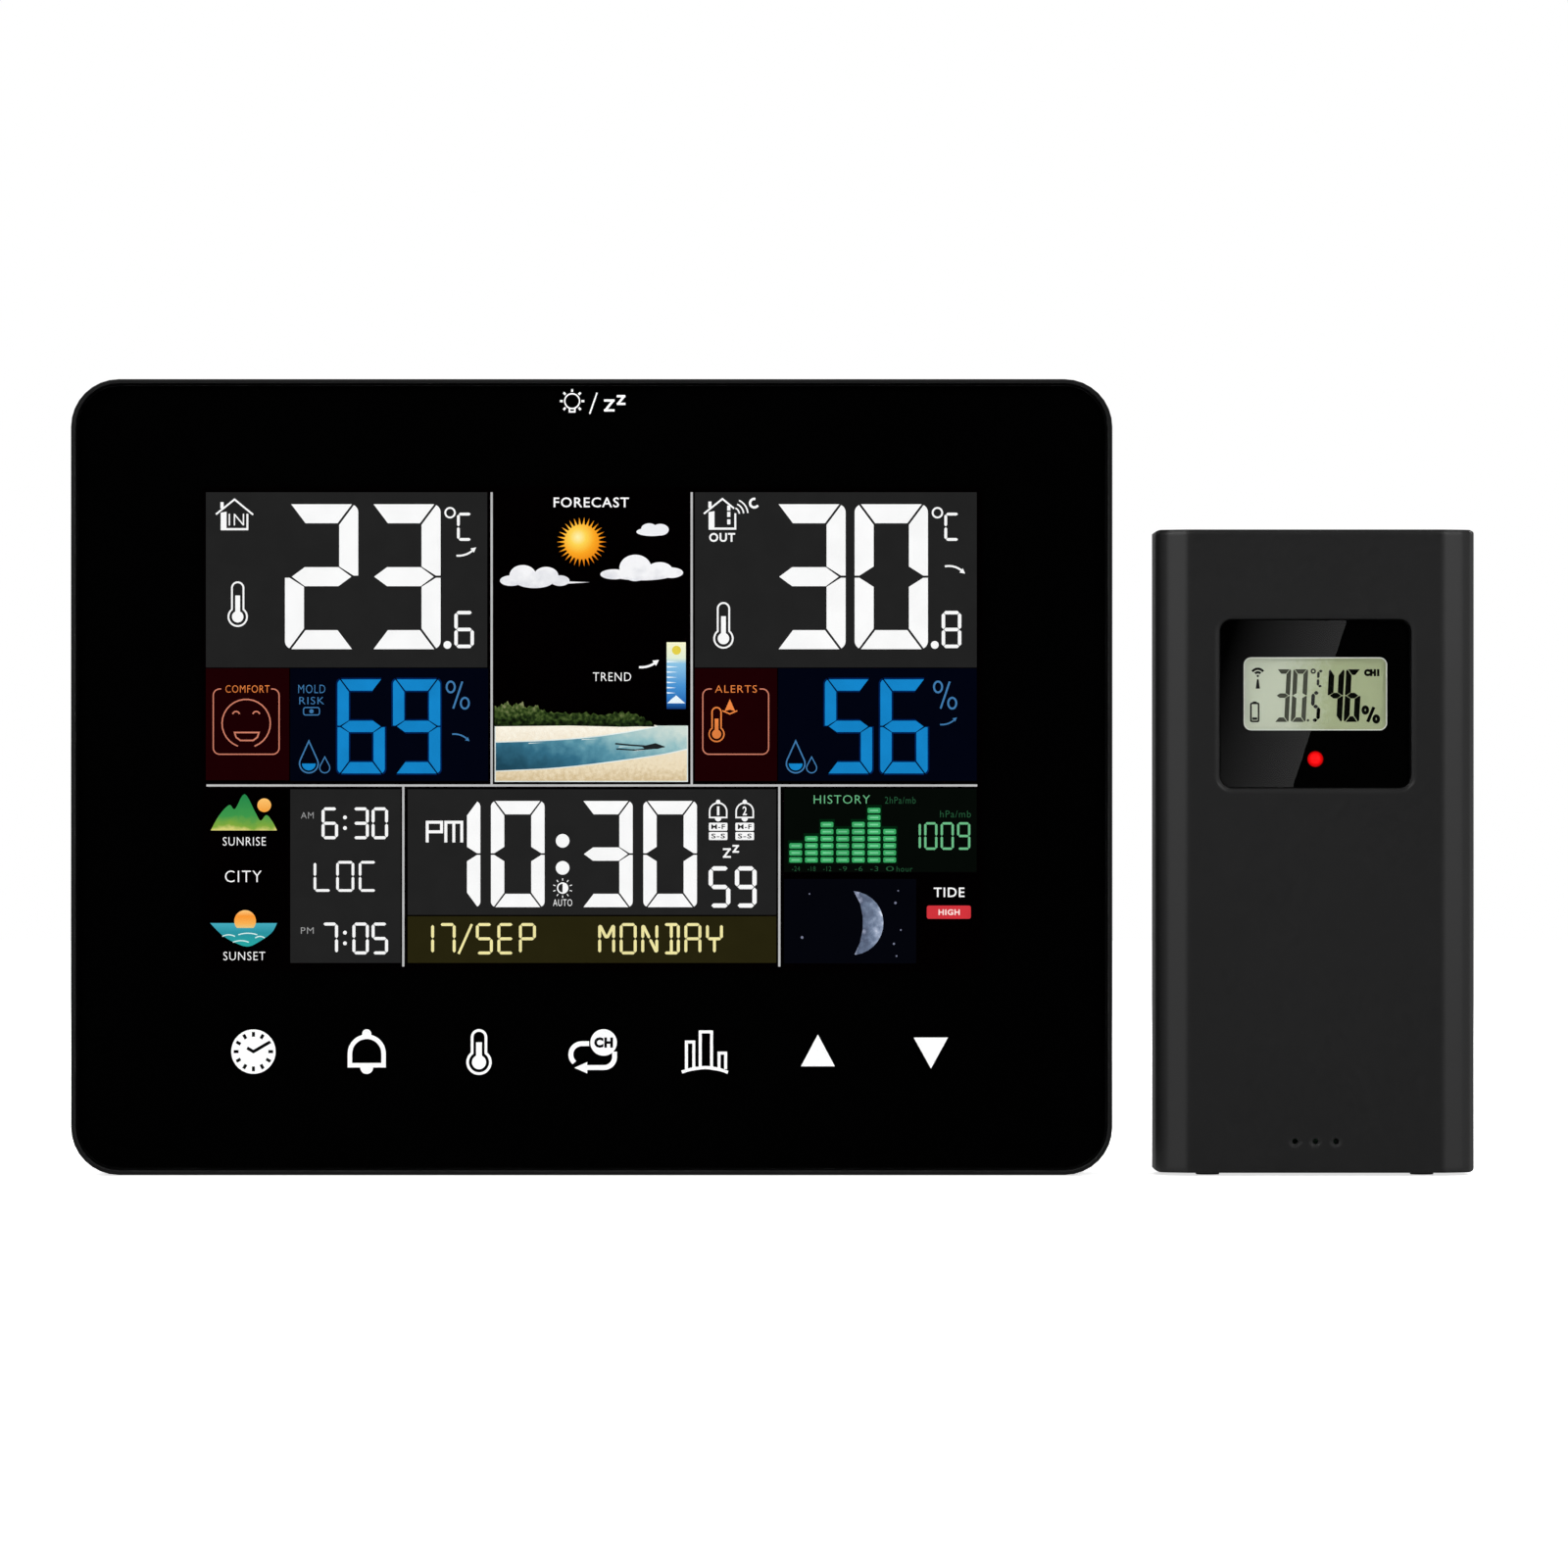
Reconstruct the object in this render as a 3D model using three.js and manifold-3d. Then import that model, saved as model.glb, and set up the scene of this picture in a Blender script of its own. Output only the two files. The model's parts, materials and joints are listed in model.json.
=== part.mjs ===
// Home weather station: a mains and battery powered colour-display console with a fold-out rear
// stand, and the battery powered wireless sensor that belongs to it, standing side by side.
// Millimetres. +X is right as seen from the front, +Y runs to the rear and +Z is up.
// The origin is on the surface that both units stand on, under the middle of the console's front
// frame. The sensor's pieces are modelled about the sensor's own middle and placed by its group.
import * as THREE from "three";
import { mergeVertices } from "three/addons/utils/BufferGeometryUtils.js";
import Module from "manifold-3d";

const wasm = await Module();
wasm.setup();

// ---------------------------------------------------------------- driving dimensions

const CONSOLE_WIDTH = 196;
const CONSOLE_HEIGHT = 149.8;
const CONSOLE_CORNER = 9;
const CONSOLE_MID_Z = CONSOLE_HEIGHT / 2;

const SENSOR_X = 136.25;
const SENSOR_WIDTH = 60.5;
const SENSOR_BASE = 0.4;
const SENSOR_TOP = 121.5;
const SENSOR_FACE_WIDTH = 48.3;

const FRONT_Y = -5;
const BACK_Y = 19;
const CONSOLE_SEAM_Y = 5;
const SENSOR_SEAM_Y = 9;
const WALL = 2;
const GAP = 0.2;
const OVERCUT = 0.2;

// Console display and touch row
const DISPLAY_GLASS_WIDTH = 151;
const DISPLAY_GLASS_Z = [34, 131];
const CONTACT_LEDGE = 3.5;
const TOUCH_ROW_Z = 23.2;
const SNOOZE_MARK_Z = 143.5;
const LENS_INSET = 0.9;
const LENS_Y = [-4.9, -3.3];
const LEDGE_Y = [-2.9, -0.9];

// Console rear: battery bay, stand and screws
const BAY_X = [-84, -34];
const BAY_Z = [21, 57];
const BAY_FLOOR_Y = 6.6;
const DOOR_Y = 17.45;
const AAA = { radius: 5.25, length: 44.5, nub: 1, y: 12, z: [27.7, 39, 50.3] };
const STAND_HALF = 26;
const STAND_PIVOT = { y: 16.4, z: 66 };
const STAND_TOE_Z = 1.7;
const RECESS = { half: 26.4, floor: 14.2, top: 70 };
const SCOOP = { x: [26, 38], z: [4, 16] };
const SCREW_X = 86;
const SCREW_Z = [12, 138];
const JACK = { x: 70, z: 52, bore: 2.8, collar: 4 };

// Sensor front window, lamp, vents and rear bay
const WINDOW = { width: 36.1, height: 31.8, corner: 2.4, z: 88.7 };
const SENSOR_DISPLAY = { width: 28.4, height: 15.2, z: 90.95 };
const LAMP_Z = 78.3;
const VENT_PITCH = 3.85;
const VENT_Z = 6.35;
const SENSOR_DOOR = { half: 25, z: [19.2, 82.8] };
const AA = { radius: 7.25, length: 50.5, nub: 1, x: [-13.4, 1.9], y: 10, base: 25.4 };
const CELL_BAY = { x: [-21.6, 9.9], z: [22, 80], floor: 2.3 };
const CONTROL_BAY = { x: [11.1, 24], floor: 10.6 };
const CONTROL_X = 18;
const TX_BUTTON_Z = 70;
const UNIT_BUTTON_Z = 56;
const CHANNEL_SWITCH_Z = 38;
const CHANNEL_TRAVEL = 4;
const KEYHOLE = { head: 4.5, slot: 1.9, rise: 7, z: 100 };
const BUTTON_TRAVEL = 0.5;
const TACT_SWITCH_Y = [0.5, 1.6];
const FOOT_X = 20.2;
const FOOT_RADIUS = 2.2;
const SENSOR_SCREW_X = 21.5;
const SENSOR_SCREW_Z = [9.5, 112];

// Colour, roughness and metalness of each kind of piece
const FINISH = {
  blackShell: [0x0c0c0d, 0.45, 0],
  glass: [0x050506, 0.05, 0],
  tape: [0x151515, 0.9, 0],
  display: [0x0a0a0c, 0.15, 0],
  guide: [0xe6ebf0, 0.2, 0],
  tray: [0xdcdcd8, 0.6, 0],
  board: [0x1d5a35, 0.55, 0],
  ribbon: [0xb9772a, 0.5, 0],
  can: [0xb5b8ba, 0.35, 0.9],
  copper: [0xb4683a, 0.35, 0.9],
  component: [0x141414, 0.5, 0],
  steel: [0x8d9194, 0.35, 0.9],
  cell: [0x2c5f8c, 0.35, 0.2],
  rubber: [0x141414, 0.9, 0],
  sensorShell: [0x262627, 0.55, 0],
  paleDisplay: [0xb4bba0, 0.3, 0],
  lamp: [0xb01812, 0.15, 0],
  control: [0x2a2a2c, 0.6, 0],
};

// ---------------------------------------------------------------- solids

function solid(geometry) {
  geometry.deleteAttribute("normal");
  geometry.deleteAttribute("uv");
  const merged = mergeVertices(geometry, 1e-4);
  const corners = merged.index.array;
  const kept = [];
  for (let i = 0; i < corners.length; i += 3) {
    const [a, b, c] = [corners[i], corners[i + 1], corners[i + 2]];
    if (a !== b && b !== c && c !== a) kept.push(a, b, c);
  }
  const vertProperties = merged.attributes.position.array;
  return new wasm.Manifold(new wasm.Mesh({ numProp: 3, vertProperties, triVerts: new Uint32Array(kept) }));
}

function geometryOf(body) {
  const { vertProperties, triVerts } = body.getMesh();
  const geometry = new THREE.BufferGeometry();
  geometry.setAttribute("position", new THREE.BufferAttribute(vertProperties, 3));
  geometry.setIndex(new THREE.BufferAttribute(triVerts, 1));
  geometry.computeVertexNormals();
  return geometry;
}

function join(first, ...others) {
  return others.reduce((whole, other) => whole.add(other), first);
}

function cut(body, ...tools) {
  return tools.reduce((rest, tool) => rest.subtract(tool), body);
}

function block([x0, x1], [y0, y1], [z0, z1]) {
  const box = new THREE.BoxGeometry(x1 - x0, y1 - y0, z1 - z0);
  return solid(box.translate((x0 + x1) / 2, (y0 + y1) / 2, (z0 + z1) / 2));
}

function around(middle, size) {
  return [middle - size / 2, middle + size / 2];
}

function roundedRect(width, height, radius, x, z) {
  const [left, right] = around(x, width);
  const [low, high] = around(z, height);
  const shape = new THREE.Shape();
  shape.moveTo(left + radius, low);
  shape.lineTo(right - radius, low);
  shape.absarc(right - radius, low + radius, radius, -Math.PI / 2, 0);
  shape.lineTo(right, high - radius);
  shape.absarc(right - radius, high - radius, radius, 0, Math.PI / 2);
  shape.lineTo(left + radius, high);
  shape.absarc(left + radius, high - radius, radius, Math.PI / 2, Math.PI);
  shape.lineTo(left, low + radius);
  shape.absarc(left + radius, low + radius, radius, Math.PI, 1.5 * Math.PI);
  return shape;
}

// A front-view outline made solid between two depths, with an optional rounded edge at both ends
function slab(shape, [y0, y1], round = 0, steps = 1) {
  const geometry = new THREE.ExtrudeGeometry(shape, {
    depth: y1 - y0 - 2 * round,
    curveSegments: 4,
    bevelEnabled: round > 0,
    bevelThickness: round,
    bevelSize: round,
    bevelOffset: -round,
    bevelSegments: steps,
  });
  return solid(geometry.rotateX(Math.PI / 2).translate(0, y1 - round, 0));
}

// A plan outline of (x, y) points made solid between two heights
function column(points, [z0, z1]) {
  const shape = new THREE.Shape(points.map(([x, y]) => new THREE.Vector2(x, y)));
  const geometry = new THREE.ExtrudeGeometry(shape, { depth: z1 - z0, bevelEnabled: false });
  return solid(geometry.translate(0, 0, z0));
}

// A side outline of (y, z) points made solid between two X planes
function beam(points, [x0, x1]) {
  const shape = new THREE.Shape(points.map(([y, z]) => new THREE.Vector2(y, z)));
  const geometry = new THREE.ExtrudeGeometry(shape, { depth: x1 - x0, bevelEnabled: false });
  return solid(geometry.rotateX(Math.PI / 2).rotateZ(Math.PI / 2).translate(x0, 0, 0));
}

function rodY(radius, [y0, y1], x, z, sides = 20) {
  const rod = new THREE.CylinderGeometry(radius, radius, y1 - y0, sides);
  return solid(rod.translate(x, (y0 + y1) / 2, z));
}

function rodX(radius, [x0, x1], y, z, sides = 20) {
  const rod = new THREE.CylinderGeometry(radius, radius, x1 - x0, sides).rotateZ(Math.PI / 2);
  return solid(rod.translate((x0 + x1) / 2, y, z));
}

function rodZ(radius, [z0, z1], x, y, sides = 20) {
  const rod = new THREE.CylinderGeometry(radius, radius, z1 - z0, sides).rotateX(Math.PI / 2);
  return solid(rod.translate(x, y, (z0 + z1) / 2));
}

// A turned piece about +Y from (radius, height) points listed from its foot to its head
function turned(profile, sides) {
  return new THREE.LatheGeometry(profile.map(([r, h]) => new THREE.Vector2(r, h)), sides);
}

function piece(name, shape, [color, roughness, metalness]) {
  const material = new THREE.MeshStandardMaterial({ color, roughness, metalness });
  const geometry = shape.isBufferGeometry ? shape : geometryOf(shape);
  const mesh = new THREE.Mesh(geometry, material);
  mesh.name = name;
  return mesh;
}

// ---------------------------------------------------------------- pieces used by both units

function cellSolid({ radius, length, nub }) {
  const body = length - nub;
  const profile = [
    [0, 0],
    [radius - 0.4, 0],
    [radius, 0.4],
    [radius, body - 0.4],
    [radius - 0.4, body],
    [radius * 0.52, body],
    [radius * 0.52, length],
    [0, length],
  ];
  return turned(profile, 16);
}

// A self-tapping case screw: its head faces the rear and its shank points to the front
function caseScrew(name, x, headY, z) {
  const [headRadius, headHeight, shankRadius, shankLength] = [2.7, 1.9, 1.1, 8.6];
  const profile = [
    [0, -shankLength],
    [shankRadius, 1.6 - shankLength],
    [shankRadius, 0],
    [headRadius, 0],
    [headRadius, headHeight * 0.5],
    [headRadius * 0.7, headHeight],
    [0, headHeight],
  ];
  const slotDepth = 1;
  const arms = [
    block(around(0, 3), [headHeight - slotDepth, headHeight + OVERCUT], around(0, 0.7)),
    block(around(0, 0.7), [headHeight - slotDepth, headHeight + OVERCUT], around(0, 3)),
  ];
  const screw = piece(name, cut(solid(turned(profile, 12)), ...arms), FINISH.steel);
  screw.position.set(x, headY, z);
  return screw;
}

function keyholeCut() {
  const z = KEYHOLE.z;
  return join(
    rodY(KEYHOLE.head, [BACK_Y - 3, BACK_Y + OVERCUT], 0, z, 24),
    block([-KEYHOLE.slot, KEYHOLE.slot], [BACK_Y - 3, BACK_Y + OVERCUT], [z, z + KEYHOLE.rise]),
    rodY(KEYHOLE.slot, [BACK_Y - 3, BACK_Y + OVERCUT], 0, z + KEYHOLE.rise, 16),
  );
}

// Recessed finger grip lines across a battery door
function doorGrip(middleX, z, count) {
  const lines = [];
  for (let i = 0; i < count; i += 1) {
    lines.push(block(around(middleX, 16), [BACK_Y - 0.5, BACK_Y + OVERCUT], around(z + 2 * i, 0.9)));
  }
  return lines;
}

// ---------------------------------------------------------------- console: front

function consoleOutline(inset) {
  const width = CONSOLE_WIDTH - 2 * inset;
  const height = CONSOLE_HEIGHT - 2 * inset;
  return roundedRect(width, height, CONSOLE_CORNER - inset, 0, CONSOLE_MID_Z);
}

function eachScrew(make) {
  return SCREW_Z.flatMap((z) => [-SCREW_X, SCREW_X].map((x) => make(x, z)));
}

function frontFrame() {
  const cavity = slab(consoleOutline(WALL), [LEDGE_Y[1], CONSOLE_SEAM_Y + OVERCUT]);
  const lensPocket = slab(consoleOutline(LENS_INSET - GAP), [FRONT_Y - OVERCUT, LEDGE_Y[0]]);
  const through = [LEDGE_Y[0] - OVERCUT, LEDGE_Y[1] + OVERCUT];
  const displayHole = block(around(0, DISPLAY_GLASS_WIDTH + 1), through, [32.2, 131.5]);
  const touchHole = block([-84, 84], through, around(TOUCH_ROW_Z, 15));
  const snoozeHole = block([-15.5, 15.5], through, around(SNOOZE_MARK_Z, 8));
  const outer = slab(consoleOutline(0), [FRONT_Y, CONSOLE_SEAM_Y]);
  const open = cut(outer, cavity, lensPocket, displayHole, touchHole, snoozeHole);
  const posts = eachScrew((x, z) => rodY(3.2, [LEDGE_Y[1] - 0.5, CONSOLE_SEAM_Y], x, z, 16));
  const pilots = eachScrew((x, z) => rodY(1.3, [-0.2, CONSOLE_SEAM_Y + OVERCUT], x, z, 12));
  return piece("front_frame", cut(join(open, ...posts), ...pilots), FINISH.blackShell);
}

function frontLens() {
  return piece("front_lens", slab(consoleOutline(LENS_INSET), LENS_Y, 0.3), FINISH.glass);
}

function lensTape() {
  const depth = [LENS_Y[1] + 0.05, LEDGE_Y[0] - 0.05];
  const inner = slab(consoleOutline(3.4), [depth[0] - OVERCUT, depth[1] + OVERCUT]);
  return piece("lens_tape", cut(slab(consoleOutline(1.4), depth), inner), FINISH.tape);
}

// ---------------------------------------------------------------- console: display stack

function displayGlass() {
  const [low, high] = DISPLAY_GLASS_Z;
  const width = around(0, DISPLAY_GLASS_WIDTH);
  const rearPlate = block(width, [-1.75, -0.65], [low, high]);
  const frontPlate = block(width, [-2.85, -1.75], [low + CONTACT_LEDGE, high]);
  return piece("display_glass", join(rearPlate, frontPlate), FINISH.display);
}

function lightGuide() {
  return piece("light_guide", block(around(0, 148), [-0.5, 2.4], [37, 129]), FINISH.guide);
}

function lampStrip() {
  const strip = block([-77, -76.2], [-0.4, 2.3], [38, 128]);
  const lamps = [];
  for (let i = 0; i < 8; i += 1) {
    lamps.push(block([-76.3, -74.3], [0.1, 1.8], around(44 + 11 * i, 4)));
  }
  return piece("lamp_strip", join(strip, ...lamps), FINISH.board);
}

function displayHolder() {
  const tray = block([-80, 80], [-0.8, 3.9], [31.6, 133.4]);
  const pocket = block([-77.4, 77.4], [-1, 2.55], [33.6, 131.4]);
  const ribbonPath = block([-31, 31], [-1, 4.2], [31, 36.4]);
  const window = block([-50, 50], [2.4, 4.2], [52, 116]);
  return piece("display_holder", cut(tray, pocket, ribbonPath, window), FINISH.tray);
}

// A flat flex that leaves the display's contact ledge, turns under the holder and rises to the board
function displayRibbon() {
  const thick = 0.2;
  const [ledgeY, boardY] = [-2.05, 5.5];
  const [startZ, turnZ, endZ] = [37, 32.6, 74];
  const route = [
    [ledgeY, startZ],
    [ledgeY, turnZ],
    [boardY + thick, turnZ],
    [boardY + thick, endZ],
    [boardY, endZ],
    [boardY, turnZ + thick],
    [ledgeY + thick, turnZ + thick],
    [ledgeY + thick, startZ],
  ];
  return piece("display_ribbon", beam(route, [-28, 28]), FINISH.ribbon);
}

function touchBoard() {
  const board = block([-82, 82], [-2.8, -1.6], around(TOUCH_ROW_Z, 14));
  const chip = block([-5, 5], [-1.7, -0.6], around(TOUCH_ROW_Z, 6));
  return piece("touch_board", join(board, chip), FINISH.board);
}

function snoozeTouchBoard() {
  return piece("snooze_touch_board", block([-14, 14], [-2.8, -1.6], around(SNOOZE_MARK_Z, 7)), FINISH.board);
}

// ---------------------------------------------------------------- console: electronics

function mainBoard() {
  const plate = block([-22, 90], [6, 7.6], [72, 132]);
  const mount = rodY(1.6, [5, 8], 84, 126, 12);
  const chips = [
    block([22, 36], [7.5, 9.2], [104, 118]),
    block([50, 58], [7.5, 9], [90, 102]),
    block([6, 14], [7.5, 11], [78, 86]),
    block([66, 78], [7.5, 12], [76, 82]),
  ];
  return piece("main_board", join(cut(plate, mount), ...chips), FINISH.board);
}

function radioModule() {
  const base = block([-18, 2], [7.8, 8.8], [106, 126]);
  const can = block([-16, 0], [8.7, 10.9], [108, 120]);
  return piece("radio_module", join(base, can), FINISH.can);
}

function antennaWire() {
  const route = new THREE.CatmullRomCurve3([
    new THREE.Vector3(-8, 9.6, 127),
    new THREE.Vector3(-8, 9.9, 133),
    new THREE.Vector3(-3, 10, 137.5),
    new THREE.Vector3(20, 10, 139),
    new THREE.Vector3(60, 10, 139),
  ]);
  const section = new THREE.Shape().absarc(0, 0, 0.6, 0, 2 * Math.PI);
  const wire = new THREE.ExtrudeGeometry(section, { steps: 14, extrudePath: route, curveSegments: 4 });
  return piece("antenna_wire", wire, FINISH.rubber);
}

function buzzer() {
  const body = rodY(6, [7.9, 12.6], 40, 84, 24);
  return piece("buzzer", cut(body, rodY(1.2, [10.5, 12.8], 40, 84, 12)), FINISH.component);
}

function climateBoard() {
  const board = block([62, 86], [10, 11.2], [20, 34]);
  const sensor = block([71, 77], [11.1, 13.4], [24, 30]);
  return piece("climate_board", join(board, sensor), FINISH.board);
}

function powerJack() {
  const housing = block(around(JACK.x, 9), [7, 16.7], around(JACK.z, 11));
  const collar = rodY(JACK.collar, [16.6, 18.7], JACK.x, JACK.z, 16);
  const bore = rodY(JACK.bore, [9.5, 19], JACK.x, JACK.z, 12);
  const pin = rodY(1, [9, 17.6], JACK.x, JACK.z, 8);
  return piece("power_jack", join(cut(join(housing, collar), bore), pin), FINISH.component);
}

// ---------------------------------------------------------------- console: rear cover

function ventSlots() {
  const slots = [];
  for (let i = 0; i < 5; i += 1) {
    slots.push(block(around(66 + 4 * i, 1.8), [16, BACK_Y + OVERCUT], [20, 34]));
  }
  return slots;
}

function soundHoles() {
  return [-1, 0, 1].map((i) => rodY(0.9, [16, BACK_Y + OVERCUT], 40 + 3.4 * i, 84, 10));
}

function rearCover() {
  const rounding = 3;
  const full = slab(consoleOutline(0), [-1, BACK_Y], rounding, 3);
  const front = block([-120, 120], [-2, CONSOLE_SEAM_Y + GAP], [-10, 160]);
  const outer = cut(full, front, slab(consoleOutline(WALL), [0, BACK_Y - WALL]));
  const inside = CONSOLE_SEAM_Y + GAP;

  const doorX = [BAY_X[0] - 2, BAY_X[1] + 2];
  const doorZ = [BAY_Z[0] - 2, BAY_Z[1] + 2];
  const bayWalls = block([doorX[0] - 1.8, doorX[1] + 1.8], [inside, 17.5], [doorZ[0] - 1.8, doorZ[1] + 1.8]);
  const recessWalls = block([-RECESS.half - 1.6, RECESS.half + 1.6], [12.6, 17.5], [0.5, RECESS.top + 1.6]);
  const scoopWalls = block([SCOOP.x[0], SCOOP.x[1] + 1.6], [12.6, 17.5], [SCOOP.z[0] - 1.6, SCOOP.z[1] + 1.6]);
  const posts = eachScrew((x, z) => rodY(4.6, [inside, 17.5], x, z, 20));

  const bay = block(BAY_X, [BAY_FLOOR_Y, BACK_Y + OVERCUT], BAY_Z);
  const doorSeat = block(
    [doorX[0] - GAP, doorX[1] + GAP],
    [DOOR_Y - 0.15, BACK_Y + OVERCUT],
    [doorZ[0] - GAP, doorZ[1] + GAP],
  );
  const recess = block([-RECESS.half, RECESS.half], [RECESS.floor, BACK_Y + OVERCUT], [-1, RECESS.top]);
  const scoop = block(SCOOP.x, [RECESS.floor, BACK_Y + OVERCUT], SCOOP.z);
  const pivots = rodX(1.8, [-RECESS.half - 3, RECESS.half + 3], STAND_PIVOT.y, STAND_PIVOT.z);
  const counterbores = eachScrew((x, z) => rodY(3.3, [9, BACK_Y + OVERCUT], x, z, 20));
  const clearances = eachScrew((x, z) => rodY(1.5, [inside - 1, 9.2], x, z, 12));
  const jackHole = rodY(JACK.collar + 0.3, [16, BACK_Y + OVERCUT], JACK.x, JACK.z, 24);

  const body = join(outer, bayWalls, recessWalls, scoopWalls, ...posts);
  const openings = [bay, doorSeat, recess, scoop, pivots, jackHole];
  const drilled = cut(body, ...openings, ...counterbores, ...clearances, ...ventSlots(), ...soundHoles());
  return piece("rear_cover", drilled, FINISH.blackShell);
}

// ---------------------------------------------------------------- console: batteries and stand

function batteryDoor() {
  const [x0, x1] = [BAY_X[0] - 2, BAY_X[1] + 2];
  const [z0, z1] = [BAY_Z[0] - 2, BAY_Z[1] + 2];
  const middle = (x0 + x1) / 2;
  const plate = block([x0, x1], [DOOR_Y, BACK_Y], [z0, z1]);
  const tab = block(around(middle, 10), [14.5, DOOR_Y + 0.3], [z1 - 3.6, z1 - 2.4]);
  const grip = doorGrip(middle, z1 - 8, 3);
  return piece("battery_door", join(cut(plate, ...grip), tab), FINISH.blackShell);
}

function consoleCells() {
  const start = (BAY_X[0] + BAY_X[1] - AAA.length) / 2;
  return AAA.z.map((z, i) => {
    const cell = piece(`battery_aaa_${i + 1}`, cellSolid(AAA), FINISH.cell);
    const flipped = i % 2 === 1;
    cell.rotation.z = flipped ? Math.PI / 2 : -Math.PI / 2;
    cell.position.set(flipped ? start + AAA.length : start, AAA.y, z);
    return cell;
  });
}

// One leaf of battery contacts: a plate in its slot and a spring dome for each cell end
function consoleContacts(name, plateX, domeX) {
  const plate = block(plateX, [8, 16], [BAY_Z[0] + 1, BAY_Z[1] - 1]);
  const domes = AAA.z.map((z) => rodX(2.2, domeX, AAA.y, z, 14));
  return piece(name, join(plate, ...domes), FINISH.steel);
}

function standLeg() {
  const { y, z } = STAND_PIVOT;
  const skin = block([-STAND_HALF, STAND_HALF], [17, 18.6], [STAND_TOE_Z, z]);
  const barrel = rodX(2, [-STAND_HALF, STAND_HALF], y, z);
  const pins = rodX(1.5, [-STAND_HALF - 1.6, STAND_HALF + 1.6], y, z);
  const rails = [-STAND_HALF, -9, 7.4, STAND_HALF - 1.6].map((x) =>
    block([x, x + 1.6], [14.8, 17.1], [STAND_TOE_Z, z]),
  );
  const ribs = [STAND_TOE_Z, 22, 44].map((low) =>
    block([-STAND_HALF, STAND_HALF], [14.8, 17.1], [low, low + 1.6]),
  );
  return piece("stand_leg", join(skin, barrel, pins, ...rails, ...ribs), FINISH.blackShell);
}

function standFootPad() {
  const pad = block([-STAND_HALF + 1, STAND_HALF - 1], [15.2, 18.2], [STAND_TOE_Z - 1.3, STAND_TOE_Z - 0.1]);
  return piece("stand_foot_pad", pad, FINISH.rubber);
}

// ---------------------------------------------------------------- sensor: housings

// Plan outline of the sensor: a flat face, creased flanks, upright sides and a rounded back
function sensorPlan(inset) {
  const face = SENSOR_FACE_WIDTH / 2 - 0.6 * inset;
  const half = SENSOR_WIDTH / 2 - inset;
  const front = FRONT_Y + inset;
  const back = BACK_Y - inset;
  const right = [
    [face, front],
    [half - 2.4, front + 1.9],
    [half - 1.1, front + 3.1],
    [half - 0.3, front + 5],
    [half, front + 7.5],
    [half, SENSOR_SEAM_Y + 2],
    [half - 0.5, back - 3],
    [half - 1.5, back - 1],
    [half - 3, back],
  ];
  const left = right.map(([x, y]) => [-x, y]).reverse();
  return [...right, ...left];
}

function sensorBlank(depth) {
  const height = SENSOR_TOP - SENSOR_BASE;
  const middle = (SENSOR_TOP + SENSOR_BASE) / 2;
  const prism = column(sensorPlan(0), [SENSOR_BASE, SENSOR_TOP]);
  return prism.intersect(slab(roundedRect(SENSOR_WIDTH + 1, height, 1.8, 0, middle), depth));
}

function sensorCavity() {
  return column(sensorPlan(1.9), [SENSOR_BASE + WALL, SENSOR_TOP - WALL]);
}

function eachSensorScrew(make) {
  return SENSOR_SCREW_Z.flatMap((z) => [-SENSOR_SCREW_X, SENSOR_SCREW_X].map((x) => make(x, z)));
}

function footPocket(x, y) {
  return rodZ(FOOT_RADIUS + 0.15, [SENSOR_BASE - OVERCUT, SENSOR_BASE + 0.8], x, y, 16);
}

function sensorFrontShell() {
  const depth = [FRONT_Y - 1, SENSOR_SEAM_Y - GAP / 2];
  const shell = cut(sensorBlank(depth), sensorCavity());
  const posts = eachSensorScrew((x, z) => rodY(2.8, [-3.6, 5.4], x, z, 16));
  const pilots = eachSensorScrew((x, z) => rodY(1.3, [-2, 6], x, z, 12));
  const windowSeat = slab(
    roundedRect(WINDOW.width + GAP, WINDOW.height + GAP, WINDOW.corner, 0, WINDOW.z),
    [FRONT_Y - OVERCUT, -3.9],
  );
  const through = [FRONT_Y - OVERCUT, -2];
  const displayHole = block(around(0, SENSOR_DISPLAY.width), through, around(SENSOR_DISPLAY.z, SENSOR_DISPLAY.height));
  const lampHole = rodY(2, through, 0, LAMP_Z, 16);
  const vents = [-1, 0, 1].map((i) => rodY(0.55, through, VENT_PITCH * i, VENT_Z, 12));
  const feet = [footPocket(-FOOT_X, -1), footPocket(FOOT_X, -1)];
  const openings = [...pilots, windowSeat, displayHole, lampHole, ...vents, ...feet];
  return piece("sensor_front_shell", cut(join(shell, ...posts), ...openings), FINISH.sensorShell);
}

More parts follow.
